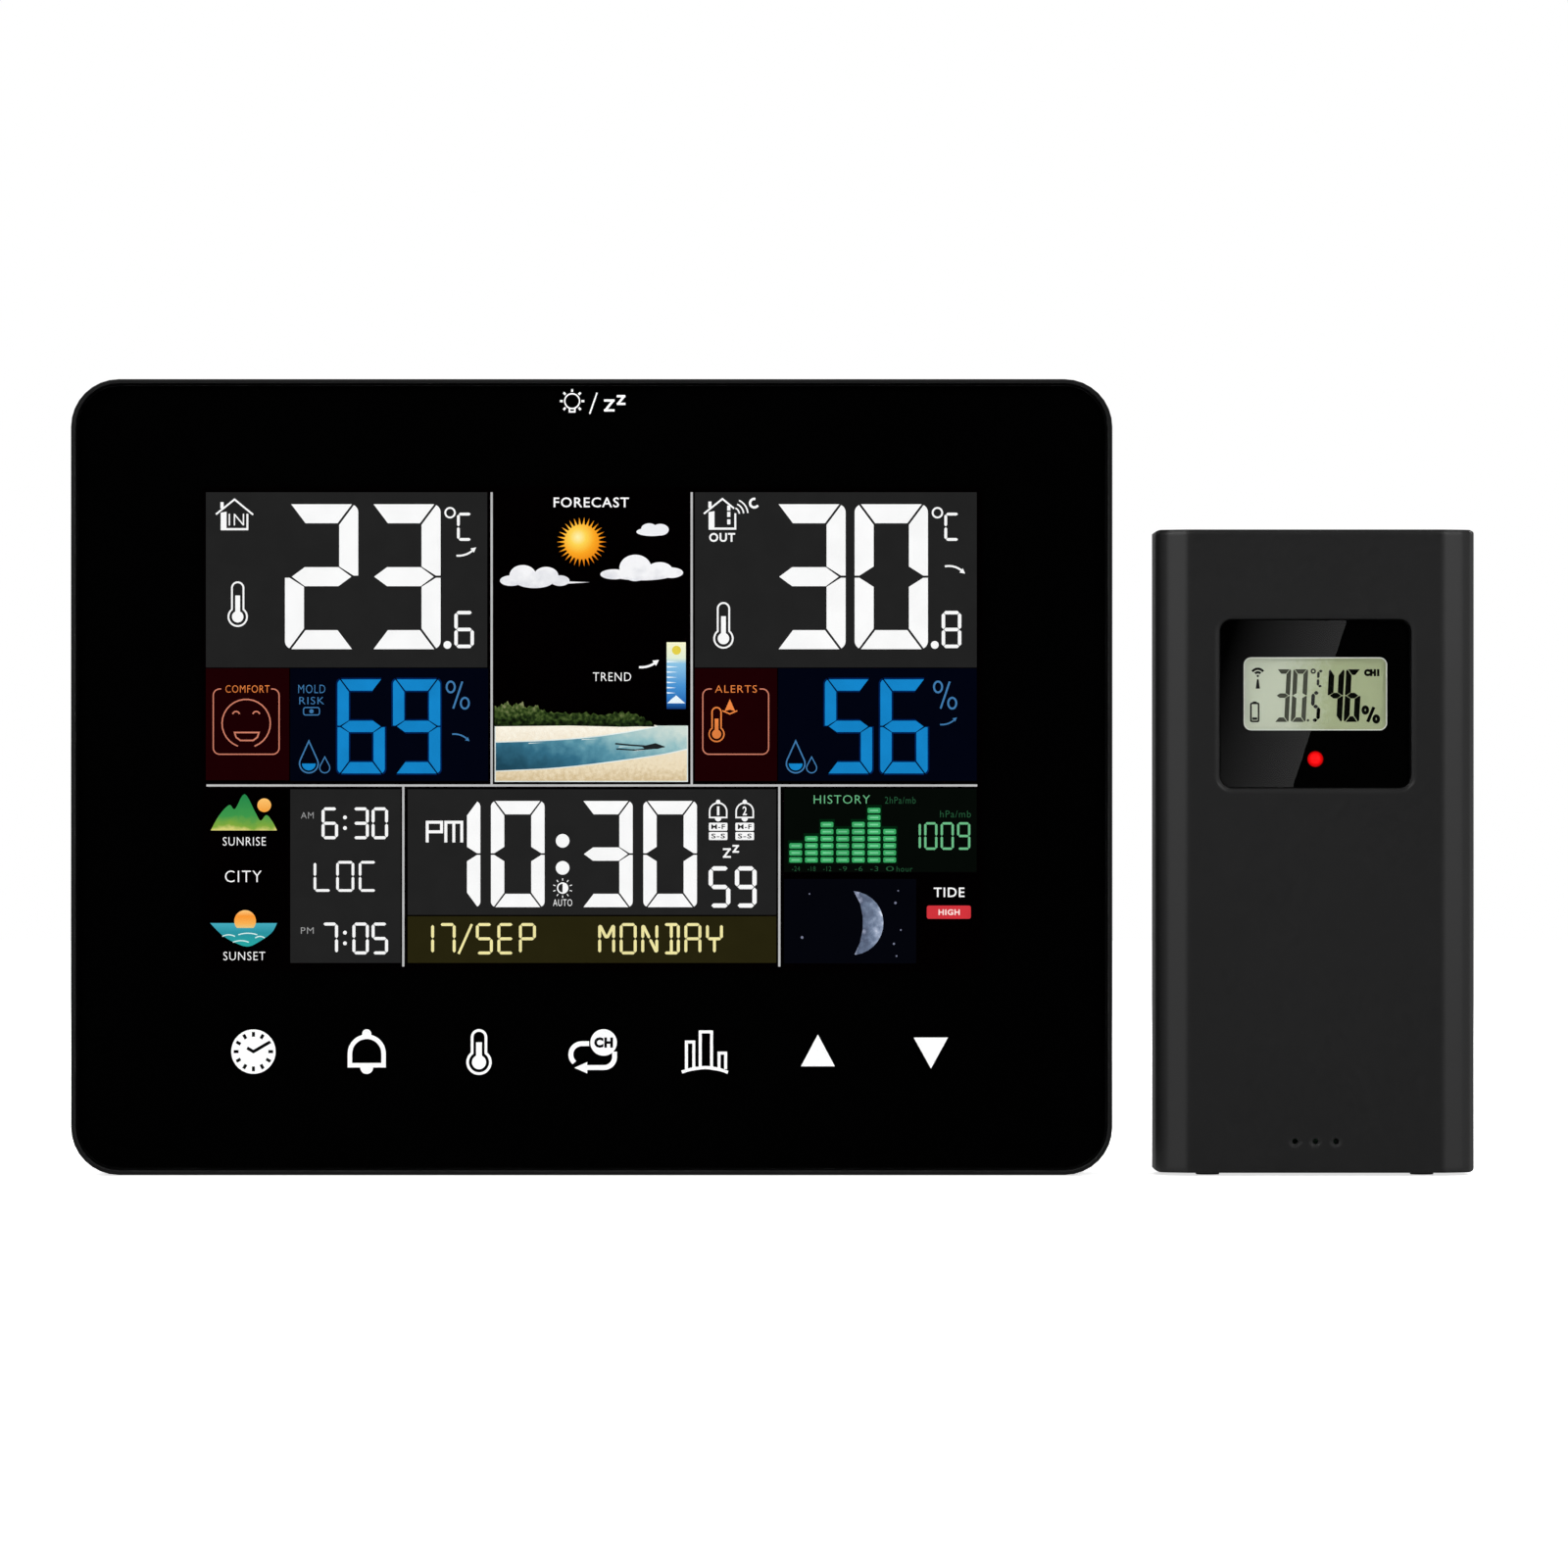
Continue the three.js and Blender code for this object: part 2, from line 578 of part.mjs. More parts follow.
function sensorBackShell() {
  const depth = [SENSOR_SEAM_Y + GAP / 2, BACK_Y + 1];
  const shell = cut(sensorBlank(depth), sensorCavity());
  const posts = eachSensorScrew((x, z) => rodY(4.2, [5.6, 17.4], x, z, 16));
  const [doorLow, doorHigh] = SENSOR_DOOR.z;
  const ledge = block(around(0, 2 * SENSOR_DOOR.half + 3), [15.4, 17.4], [doorLow - 1.6, doorHigh + 1.6]);
  const bayZ = [CELL_BAY.z[0] - 1.4, CELL_BAY.z[1] + 1.4];
  const cellWalls = block([CELL_BAY.x[0] - 1.4, CONTROL_BAY.x[0]], [CELL_BAY.floor - 1.4, 17.4], bayZ);
  const controlWalls = block([CELL_BAY.x[1], CONTROL_BAY.x[1] + 1.4], [CONTROL_BAY.floor - 1.4, 17.4], bayZ);

  const cellBay = block(CELL_BAY.x, [CELL_BAY.floor, BACK_Y + OVERCUT], CELL_BAY.z);
  const controlBay = block(CONTROL_BAY.x, [CONTROL_BAY.floor, BACK_Y + OVERCUT], CELL_BAY.z);
  const doorSeat = block(
    around(0, 2 * (SENSOR_DOOR.half + GAP)),
    [17.35, BACK_Y + OVERCUT],
    [doorLow - GAP, doorHigh + GAP],
  );
  const shelf = [CONTROL_BAY.floor - 2, CONTROL_BAY.floor + OVERCUT];
  const buttonHoles = [TX_BUTTON_Z, UNIT_BUTTON_Z].map((z) => rodY(2.5, shelf, CONTROL_X, z, 16));
  const switchSlot = block(
    around(CONTROL_X, 3.4),
    shelf,
    [CHANNEL_SWITCH_Z - CHANNEL_TRAVEL - 1.9, CHANNEL_SWITCH_Z + 1.9],
  );
  const counterbores = eachSensorScrew((x, z) => rodY(3.1, [9.4, BACK_Y + OVERCUT], x, z, 20));
  const clearances = eachSensorScrew((x, z) => rodY(1.5, [5, 9.6], x, z, 12));
  const feet = [footPocket(-FOOT_X, 13.5), footPocket(FOOT_X, 13.5)];
  const body = join(shell, ...posts, ledge, cellWalls, controlWalls);
  const bays = [cellBay, controlBay, doorSeat, ...buttonHoles, switchSlot];
  const drilled = cut(body, ...bays, ...counterbores, ...clearances, keyholeCut(), ...feet);
  return piece("sensor_back_shell", drilled, FINISH.sensorShell);
}

// ---------------------------------------------------------------- sensor: front pieces

function sensorWindow() {
  const outline = roundedRect(WINDOW.width, WINDOW.height, WINDOW.corner, 0, WINDOW.z);
  return piece("sensor_window", slab(outline, [-4.95, -4], 0.2), FINISH.glass);
}

function sensorDisplay() {
  const height = SENSOR_DISPLAY.height + 2.4;
  const glass = block(around(0, SENSOR_DISPLAY.width + 2.4), [-3, -1], around(SENSOR_DISPLAY.z, height));
  return piece("sensor_display", glass, FINISH.paleDisplay);
}

function sensorLamp() {
  const radius = 1.6;
  const profile = [
    [0, -1],
    [radius, -1],
    [radius, 0.6],
    [radius * 0.87, 1.4],
    [radius * 0.5, 1.95],
    [0, 2.15],
  ];
  const lamp = piece("sensor_lamp", turned(profile, 16), FINISH.lamp);
  lamp.rotation.x = Math.PI;
  lamp.position.set(0, -1.75, LAMP_Z);
  return lamp;
}

// ---------------------------------------------------------------- sensor: electronics

function sensorBoard() {
  const plate = block([-25, 25], [-0.7, 0.6], [15, 118]);
  const postHoles = eachSensorScrew((x, z) => rodY(3.2, [-1, 1], x, z, 16)).slice(2);
  const switches = [TX_BUTTON_Z, UNIT_BUTTON_Z].map((z) =>
    block(around(CONTROL_X, 5), TACT_SWITCH_Y, around(z, 5)),
  );
  const slideBody = block(around(CONTROL_X, 6), [0.5, 3.2], around(CHANNEL_SWITCH_Z - CHANNEL_TRAVEL / 2, 12));
  const chip = block([-16, -4], [0.5, 2], [100, 112]);
  return piece("sensor_board", join(cut(plate, ...postHoles), ...switches, slideBody, chip), FINISH.board);
}

// A probe board with its sensing chip right behind the three vent holes
function sensorProbe() {
  const board = block([-8, 8], [-1.6, -0.6], [2.8, 13]);
  const chip = block([-1.6, 1.6], [-2.6, -1.5], around(VENT_Z, 3.2));
  return piece("sensor_probe", join(board, chip), FINISH.board);
}

function sensorAntenna() {
  const [turns, stepsPerTurn, radius, pitch] = [5, 8, 2, 2];
  const points = [];
  for (let i = 0; i <= turns * stepsPerTurn; i += 1) {
    const angle = (2 * Math.PI * i) / stepsPerTurn;
    points.push(new THREE.Vector3(
      12 + (pitch * i) / stepsPerTurn,
      4 + radius * Math.cos(angle),
      92 + radius * Math.sin(angle),
    ));
  }
  const route = new THREE.CatmullRomCurve3(points);
  const section = new THREE.Shape().absarc(0, 0, 0.4, 0, 2 * Math.PI);
  const steps = turns * stepsPerTurn;
  const coil = new THREE.ExtrudeGeometry(section, { steps, extrudePath: route, curveSegments: 3 });
  return piece("sensor_antenna", coil, FINISH.copper);
}

// ---------------------------------------------------------------- sensor: batteries and controls

function sensorBatteryDoor() {
  const [low, high] = SENSOR_DOOR.z;
  const plate = block(around(0, 2 * SENSOR_DOOR.half), [17.5, BACK_Y], SENSOR_DOOR.z);
  const tab = block(around(-6, 10), [14, 17.7], [high - 4.4, high - 3.2]);
  const grip = doorGrip(0, high - 9, 3);
  return piece("sensor_battery_door", join(cut(plate, ...grip), tab), FINISH.sensorShell);
}

function sensorCells() {
  return AA.x.map((x, i) => {
    const cell = piece(`sensor_battery_aa_${i + 1}`, cellSolid(AA), FINISH.cell);
    const flipped = i % 2 === 1;
    cell.rotation.x = flipped ? -Math.PI / 2 : Math.PI / 2;
    cell.position.set(x, AA.y, flipped ? AA.base + AA.length : AA.base);
    return cell;
  });
}

function sensorContacts(name, plateZ, domeZ) {
  const plate = block([CELL_BAY.x[0] + 1, CELL_BAY.x[1] - 1], [6, 14], plateZ);
  const domes = AA.x.map((x) => rodZ(3, domeZ, x, AA.y, 14));
  return piece(name, join(plate, ...domes), FINISH.steel);
}

function longButton(name, z) {
  const stem = rodY(1.5, [TACT_SWITCH_Y[1] + BUTTON_TRAVEL + 0.1, 9.2], CONTROL_X, z, 12);
  const cap = rodY(2.2, [9, 12.2], CONTROL_X, z, 16);
  return piece(name, join(stem, cap), FINISH.control);
}

function channelSwitch() {
  const stem = block(around(CONTROL_X, 2.4), [3.4, 10], around(CHANNEL_SWITCH_Z, 2.8));
  const knob = block(around(CONTROL_X, 2.8), [9.9, 12.4], around(CHANNEL_SWITCH_Z, 3.2));
  return piece("sensor_channel_switch", join(stem, knob), FINISH.control);
}

function sensorFeet() {
  const spots = [[-FOOT_X, -1], [FOOT_X, -1], [-FOOT_X, 13.5], [FOOT_X, 13.5]];
  return spots.map(([x, y], i) =>
    piece(`sensor_foot_${i + 1}`, rodZ(FOOT_RADIUS, [0, SENSOR_BASE + 0.7], x, y, 16), FINISH.rubber),
  );
}

// ---------------------------------------------------------------- assembly

function consoleUnit() {
  const unit = new THREE.Group();
  unit.add(frontFrame(), frontLens(), lensTape());
  unit.add(displayGlass(), lightGuide(), lampStrip(), displayHolder(), displayRibbon());
  unit.add(touchBoard(), snoozeTouchBoard(), mainBoard(), radioModule(), antennaWire());
  unit.add(buzzer(), climateBoard(), powerJack(), rearCover(), batteryDoor(), ...consoleCells());
  unit.add(consoleContacts("battery_contacts_left", [-83.8, -83.2], [-83.3, -81.4]));
  unit.add(consoleContacts("battery_contacts_right", [-34.8, -34.2], [-36.6, -34.7]));
  unit.add(standLeg(), standFootPad());
  unit.add(...eachScrew((x, z) => [x, z]).map(([x, z], i) => caseScrew(`case_screw_${i + 1}`, x, 9.1, z)));
  return unit;
}

function sensorUnit() {
  const unit = new THREE.Group();
  unit.add(sensorFrontShell(), sensorBackShell(), sensorWindow(), sensorDisplay(), sensorLamp());
  unit.add(sensorBoard(), sensorProbe(), sensorAntenna(), sensorBatteryDoor(), ...sensorCells());
  unit.add(sensorContacts("sensor_contacts_lower", [22.2, 22.8], [22.7, 25.2]));
  unit.add(sensorContacts("sensor_contacts_upper", [79.2, 79.8], [76.1, 79.3]));
  unit.add(longButton("sensor_tx_button", TX_BUTTON_Z), longButton("sensor_unit_button", UNIT_BUTTON_Z));
  unit.add(channelSwitch(), ...sensorFeet());
  const spots = eachSensorScrew((x, z) => [x, z]);
  unit.add(...spots.map(([x, z], i) => caseScrew(`sensor_screw_${i + 1}`, x, 9.5, z)));
  unit.position.x = SENSOR_X;
  return unit;
}

const station = new THREE.Group();
station.add(consoleUnit(), sensorUnit());

export default station;
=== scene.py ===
"""The looks of a home weather station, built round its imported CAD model.

The art on the displays, the touch row and the sensor's window is drawn in millimetres: u runs to
the right and v up from the middle of the panel that it belongs to. Blender's objects are in metres.
"""

import json
import math

import bpy
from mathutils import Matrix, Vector


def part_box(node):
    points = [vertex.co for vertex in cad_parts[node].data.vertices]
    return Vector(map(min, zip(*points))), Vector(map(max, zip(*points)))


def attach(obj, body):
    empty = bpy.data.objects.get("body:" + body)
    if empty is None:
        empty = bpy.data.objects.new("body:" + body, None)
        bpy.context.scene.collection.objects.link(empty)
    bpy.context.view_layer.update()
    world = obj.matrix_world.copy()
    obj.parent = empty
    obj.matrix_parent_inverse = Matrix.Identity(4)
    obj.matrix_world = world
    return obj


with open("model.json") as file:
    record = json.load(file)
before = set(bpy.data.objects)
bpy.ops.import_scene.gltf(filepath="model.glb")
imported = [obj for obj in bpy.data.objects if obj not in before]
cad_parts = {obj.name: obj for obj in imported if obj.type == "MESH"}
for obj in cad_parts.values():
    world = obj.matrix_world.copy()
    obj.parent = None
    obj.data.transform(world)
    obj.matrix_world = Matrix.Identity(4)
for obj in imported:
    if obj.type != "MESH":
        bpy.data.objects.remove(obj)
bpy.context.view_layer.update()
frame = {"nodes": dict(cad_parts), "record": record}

MM = 0.001
STEP_DEGREES = 12
CORNER_STEPS = 6


# ---------------------------------------------------------------- places, from the frame

def middle(node):
    """The middle of a CAD node as seen from the front, in millimetres."""
    low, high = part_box(node)
    return (low.x + high.x) / 2 / MM, (low.z + high.z) / 2 / MM


def front_of(node):
    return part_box(node)[0].y / MM


def back_of(node):
    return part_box(node)[1].y / MM


# The middle of the lit picture lies this far below the top edge of the display's glass.
DISPLAY_DROP = 47.1
DISPLAY_MIDDLE = (middle("display_glass")[0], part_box("display_glass")[1].z / MM - DISPLAY_DROP)
# Ink levels are a layer apart, and each ink is a plate thick.
LAYER = 0.03
PLATE = 0.015
RIGHT = (1, 0)
UP = (0, 1)


# ---------------------------------------------------------------- outlines

def arc(u, v, radius, start, end):
    """Points on an arc between two angles in degrees."""
    steps = max(2, math.ceil(abs(end - start) / STEP_DEGREES))
    return [spoke(u, v, radius, start + (end - start) * i / steps) for i in range(steps + 1)]


def spoke(u, v, reach, angle):
    """The point that lies at a reach and an angle in degrees from u, v."""
    turn = math.radians(angle)
    return u + reach * math.cos(turn), v + reach * math.sin(turn)


def circle(u, v, radius):
    return arc(u, v, radius, 0, 360)[:-1]


def ellipse(u, v, half_width, half_height):
    return [(u + half_width * x, v + half_height * y) for x, y in circle(0, 0, 1)]


def box(u0, v0, u1, v1):
    return [(u0, v0), (u1, v0), (u1, v1), (u0, v1)]


def rounded(u0, v0, u1, v1, *radii):
    """A rectangle with round corners, from lower left anticlockwise. One radius does for all four."""
    radii = radii * 4 if len(radii) == 1 else radii
    corners = [(u0, v0, 1, 1, 180), (u1, v0, -1, 1, 270), (u1, v1, -1, -1, 0), (u0, v1, 1, -1, 90)]
    points = []
    for (u, v, right, up, start), radius in zip(corners, radii):
        centre = (u + right * radius, v + up * radius)
        points += [spoke(*centre, radius, start + 90 * i / CORNER_STEPS) for i in range(CORNER_STEPS + 1)]
    return points


def smooth(points, steps=5):
    """A Catmull-Rom curve through the points."""
    ends = [points[0], *points, points[-1]]
    line = []
    for a, b, c, d in zip(ends, ends[1:], ends[2:], ends[3:]):
        for i in range(steps):
            t = i / steps
            line.append(tuple(
                q + 0.5 * t * (r - p + t * (2 * p - 5 * q + 4 * r - s + t * (3 * q - p - 3 * r + s)))
                for p, q, r, s in zip(a, b, c, d)))
    return line + [points[-1]]


def bend(start, end, sag):
    """A shallow curve from start to end whose middle is moved sideways by sag."""
    (u0, v0), (u1, v1) = start, end
    length = math.hypot(u1 - u0, v1 - v0)
    across = ((v0 - v1) / length, (u1 - u0) / length)
    points = []
    for i in range(7):
        t = i / 6
        side = 4 * sag * t * (1 - t)
        points.append((u0 + (u1 - u0) * t + side * across[0], v0 + (v1 - v0) * t + side * across[1]))
    return points


def beside(line, distance, closed):
    """The line moved to its left by distance, with mitred joins."""
    points = [complex(u, v) for u, v in line]
    moved = []
    for i, point in enumerate(points):
        before = point - points[i - 1] if closed or i > 0 else None
        after = points[(i + 1) % len(points)] - point if closed or i < len(points) - 1 else None
        ways = [way / abs(way) for way in (before, after) if way is not None]
        way = sum(ways) / abs(sum(ways))
        reach = distance / max(0.4, abs(sum(ways)) / len(ways))
        place = point + 1j * way * reach
        moved.append((place.real, place.imag))
    return moved


# ---------------------------------------------------------------- ink: flat art with a real thickness

class Ink:
    """Flat shapes of one material on one level of a panel, made into one piece of thin closed plates."""

    def __init__(self, name, material, centre, depth, body, slot):
        self.name, self.material, self.body, self.slot = name, material, body, slot
        self.centre, self.depths = centre, (depth, depth + PLATE)
        self.points, self.faces = [], []

    def patch(self, outline, faces):
        start, count = len(self.points), len(outline)
        for depth in self.depths:
            self.points += [
                Vector((self.centre[0] + u, depth, self.centre[1] + v)) * MM for u, v in outline]
        edges = {edge for face in faces for edge in zip(face, face[1:] + face[:1])}
        for face in faces:
            self.faces.append([start + i for i in face])
            self.faces.append([start + count + i for i in reversed(face)])
        for a, b in sorted(edges):
            if (b, a) not in edges:
                self.faces.append([start + b, start + a, start + count + a, start + count + b])

    def shape(self, outline):
        area = sum(a[0] * b[1] - b[0] * a[1] for a, b in zip(outline, outline[1:] + outline[:1]))
        self.patch(outline if area > 0 else outline[::-1], [list(range(len(outline)))])

    def band(self, outer, inner, closed=True):
        """The space between two lines of as many points, the outer one anticlockwise."""
        count = len(outer)
        spans = range(count if closed else count - 1)
        faces = [[i, (i + 1) % count, count + (i + 1) % count, count + i] for i in spans]
        self.patch(outer + inner, faces)

    def line(self, points, width, closed=False):
        self.band(beside(points, -width / 2, closed), beside(points, width / 2, closed), closed)

    def letters(self, words, u0, v0, u1, v1, weight=-0.008):
        """Words in Blender's own typeface, fitted to a box."""
        curve = bpy.data.curves.new("letters", "FONT")
        curve.body, curve.offset, curve.resolution_u = words, weight, 3
        curve.space_character = 1.12
        text = bpy.data.objects.new("letters", curve)
        bpy.context.scene.collection.objects.link(text)
        bpy.context.view_layer.update()
        mesh = text.evaluated_get(bpy.context.evaluated_depsgraph_get()).to_mesh()
        flat = [(vertex.co.x, vertex.co.y) for vertex in mesh.vertices]
        low = [min(point[k] for point in flat) for k in (0, 1)]
        size = [max(point[k] for point in flat) - low[k] for k in (0, 1)]
        wide, high = (u1 - u0) / size[0], (v1 - v0) / size[1]
        fitted = [(u0 + (x - low[0]) * wide, v0 + (y - low[1]) * high) for x, y in flat]
        self.patch(fitted, [list(face.vertices) for face in mesh.polygons if face.normal.z > 0])
        bpy.data.objects.remove(text)
        bpy.data.curves.remove(curve)

    def build(self):
        mesh = bpy.data.meshes.new(self.name)
        mesh.from_pydata(self.points, [], self.faces)
        mesh.materials.append(self.material)
        piece = bpy.data.objects.new(self.name, mesh)
        bpy.context.scene.collection.objects.link(piece)
        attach(piece, self.body)
        piece.visible_shadow = False


# ---------------------------------------------------------------- segment digits and letters

SEVEN = {
    "0": "abcdef", "1": "bc", "2": "abdeg", "3": "abcdg", "4": "bcfg",
    "5": "acdfg", "6": "acdefg", "7": "abc", "8": "abcdefg", "9": "abcdfg",
}
FOURTEEN = {
    **SEVEN, "A": "abcefg", "C": "adef", "D": "abcdil", "E": "adefg", "L": "def", "M": "bcefhj",
    "N": "bcefhm", "O": "abcdef", "P": "abefg", "S": "acdfg", "Y": "bfgl",
}
STICKS = {
    "a": (0, 1, 1, 1), "b": (1, 1, 1, 0.5), "c": (1, 0.5, 1, 0), "d": (0, 0, 1, 0), "e": (0, 0, 0, 0.5),
    "f": (0, 0.5, 0, 1), "g": (0, 0.5, 1, 0.5), "h": (0, 1, 0.5, 0.5), "i": (0.5, 1, 0.5, 0.5),
    "j": (0.5, 0.5, 1, 1), "l": (0.5, 0.5, 0.5, 0), "m": (0.5, 0.5, 1, 0),
}


def segment_shapes(width, height, bar, gap, corner):
    """A digit's seven outlines. The upright bars carry its round corners, and free ends are bevelled."""
    half, shift, bevel = height / 2, 0.707 * gap, 0.33 * bar
    a = [(bar + shift, height - bar), (width - bar - shift, height - bar)]
    a += [(width - bevel, height), (bevel, height)]
    f = arc(corner, height - corner, corner, 117, 180) + [(0, half + gap / 2), (0.25 * bar, half + gap / 2)]
    f += [(bar, half + bar / 2 + 0.3 * gap), (bar, height - bar - shift)]
    tip, shoulder = 0.36 * bar, bar + 0.35 * gap
    g = [(tip, half), (shoulder, half - bar / 2), (width - shoulder, half - bar / 2)]
    g += [(width - tip, half), (width - shoulder, half + bar / 2), (shoulder, half + bar / 2)]

    def across(outline):
        return [(width - x, y) for x, y in outline]

    def over(outline):
        return [(x, height - y) for x, y in outline]

    return {"a": a, "b": across(f), "c": over(across(f)), "d": over(a), "e": over(f), "f": f, "g": g}


def big_digit(ink, digit, u, v, width, height, bar, gap, slant=0.0):
    outlines = segment_shapes(width, height, bar, gap, 0.42 * bar)
    for segment in SEVEN[digit]:
        ink.shape([(u + x + slant * y, v + y) for x, y in outlines[segment]])


def stick(ink, start, end, width):
    """A thin bar with pointed ends."""
    (u0, v0), (u1, v1) = start, end
    length = math.hypot(u1 - u0, v1 - v0)
    along = ((u1 - u0) / length, (v1 - v0) / length)
    inset, half = 0.12 * width, width / 2
    spots = [(inset, 0), (inset + half, -half), (length - inset - half, -half)]
    spots += [(length - inset, 0), (length - inset - half, half), (inset + half, half)]
    ink.shape([(u0 + s * along[0] - t * along[1], v0 + s * along[1] + t * along[0]) for s, t in spots])


def sticks(ink, words, u, v, width, height, bar, pitch=0.0, slant=0.0):
    """Fourteen-segment characters, each width by height over all."""
    for i, character in enumerate(words):
        for segment in FOURTEEN[character]:
            x0, y0, x1, y1 = STICKS[segment]
            ends = []
            for x, y in ((x0, y0), (x1, y1)):
                across, up = bar / 2 + x * (width - bar), bar / 2 + y * (height - bar)
                ends.append((u + i * pitch + across + slant * up, v + up))
            stick(ink, ends[0], ends[1], bar)


# ---------------------------------------------------------------- signs that several zones share

def thermometer(ink, u, top, bulb, radius, half_tube, stroke, level):
    """A bulb thermometer whose column reaches level."""
    meet = math.degrees(math.asin(half_tube / radius))
    outline = arc(u, bulb, radius, 90 + meet, 450 - meet) + arc(u, top - half_tube, half_tube, 0, 180)
    ink.line(outline, stroke, closed=True)
    half_column = 0.42 * half_tube
    ink.shape(circle(u, bulb, 0.62 * radius))
    ink.shape(box(u - half_column, bulb, u + half_column, level))


def drop(ink, u, tip, bottom, width, stroke):
    radius = width / 2
    ink.line([(u, tip)] + arc(u, bottom + radius, radius, 155, 385), stroke, closed=True)


def percent(ink, u0, v0, u1, v1, stroke):
    ring = 0.2 * (v1 - v0)
    for u, v in ((u0 + 0.8 * ring, v1 - ring), (u1 - 0.8 * ring, v0 + ring)):
        ink.line(ellipse(u, v, 0.75 * ring, ring), stroke, closed=True)
    lean = 0.3 * (u1 - u0)
    ink.line([(u0 + lean, v0), (u1 - lean, v1)], stroke)


def arrow(ink, start, end, sag, stroke):
    """A short bent arrow with its head at the end."""
    path = bend(start, end, sag)
    ink.line(path[:-1], stroke)
    (u0, v0), (u1, v1) = path[-3], path[-1]
    length = math.hypot(u1 - u0, v1 - v0)
    along = ((u1 - u0) / length, (v1 - v0) / length)
    size = 1.9 * stroke
    base = (u1 - size * along[0], v1 - size * along[1])
    side = (-along[1] * size * 0.75, along[0] * size * 0.75)
    head = [(u1 + 0.4 * size * along[0], v1 + 0.4 * size * along[1])]
    head += [(base[0] + side[0], base[1] + side[1]), (base[0] - side[0], base[1] - side[1])]
    ink.shape(head)


def bell(ink, u, v, half, stroke):
    """A bell with a knob and a clapper. half is half its width."""
    middle_line = half - stroke / 2
    base = v - 0.83 * half + stroke / 2
    dome = arc(u, v - 0.1 * half, middle_line, 0, 180)
    ink.line([(u + middle_line, base), *dome, (u - middle_line, base)], stroke, closed=True)
    ink.shape(circle(u, v + 0.93 * half, 0.24 * half))
    ink.shape(arc(u, base - stroke / 2, 0.34 * half, 180, 360))


def sleepy(ink, u, v, width, height, stroke):
    """Two Zs, the second smaller and higher."""
    for left, low, scale in ((u, v, 1.0), (u + 1.2 * width, v + 0.53 * height, 0.82)):
        right, top = left + scale * width, low + scale * height
        ink.shape(box(left, low, right, low + stroke))
        ink.shape(box(left, top - stroke, right, top))
        inset, half = 0.6 * stroke, stroke / 2
        ink.line([(left + inset, low + half), (right - inset, top - half)], stroke)


def house(ink, u, v, roof_right):
    """A house 5 mm wide with its left wall filled, from the middle of its floor."""
    ink.line([(u - 3.5, v + 3.0), (u, v + 5.8), (u + roof_right, v + 5.8 - 0.82 * roof_right)], 0.34)
    ink.shape([(u - 2.6, v), (u - 1.5, v), (u - 1.5, v + 3.5), (u - 2.6, v + 3.3)])
    ink.shape(box(u - 1.5, v, u + 2.6, v + 0.4))
    ink.shape(box(u + 2.25, v + 0.4, u + 2.6, v + 3.1))
    ink.shape(box(u - 2.65, v + 4.1, u - 2.05, v + 5.3))


def labelled_box(ink, u0, v0, u1, v1, gap):
    """A rounded outline whose top edge stays open in the middle for its label."""
    radius, stroke = 1.2, 0.22
    middle_u = (u0 + u1) / 2
    left, right, low, high = u0 + radius, u1 - radius, v0 + radius, v1 - radius
    line = [(middle_u - gap / 2, v1)]
    for u, v, start in ((left, high, 90), (left, low, 180), (right, low, 270), (right, high, 0)):
        line += arc(u, v, radius, start, start + 90)
    ink.line(line + [(middle_u + gap / 2, v1)], stroke)


def cloud(ink, *blobs):
    for blob in blobs:
        ink.shape(ellipse(*blob))


# ---------------------------------------------------------------- materials

def linear(*rgb):
    """A colour from 0 to 255 as a screen shows it, as scene light."""
    shares = [channel / 255 for channel in rgb]
    return [s / 12.92 if s <= 0.04045 else ((s + 0.055) / 1.055) ** 2.4 for s in shares]


def scaled(colour, factor):
    return [channel * factor for channel in colour]


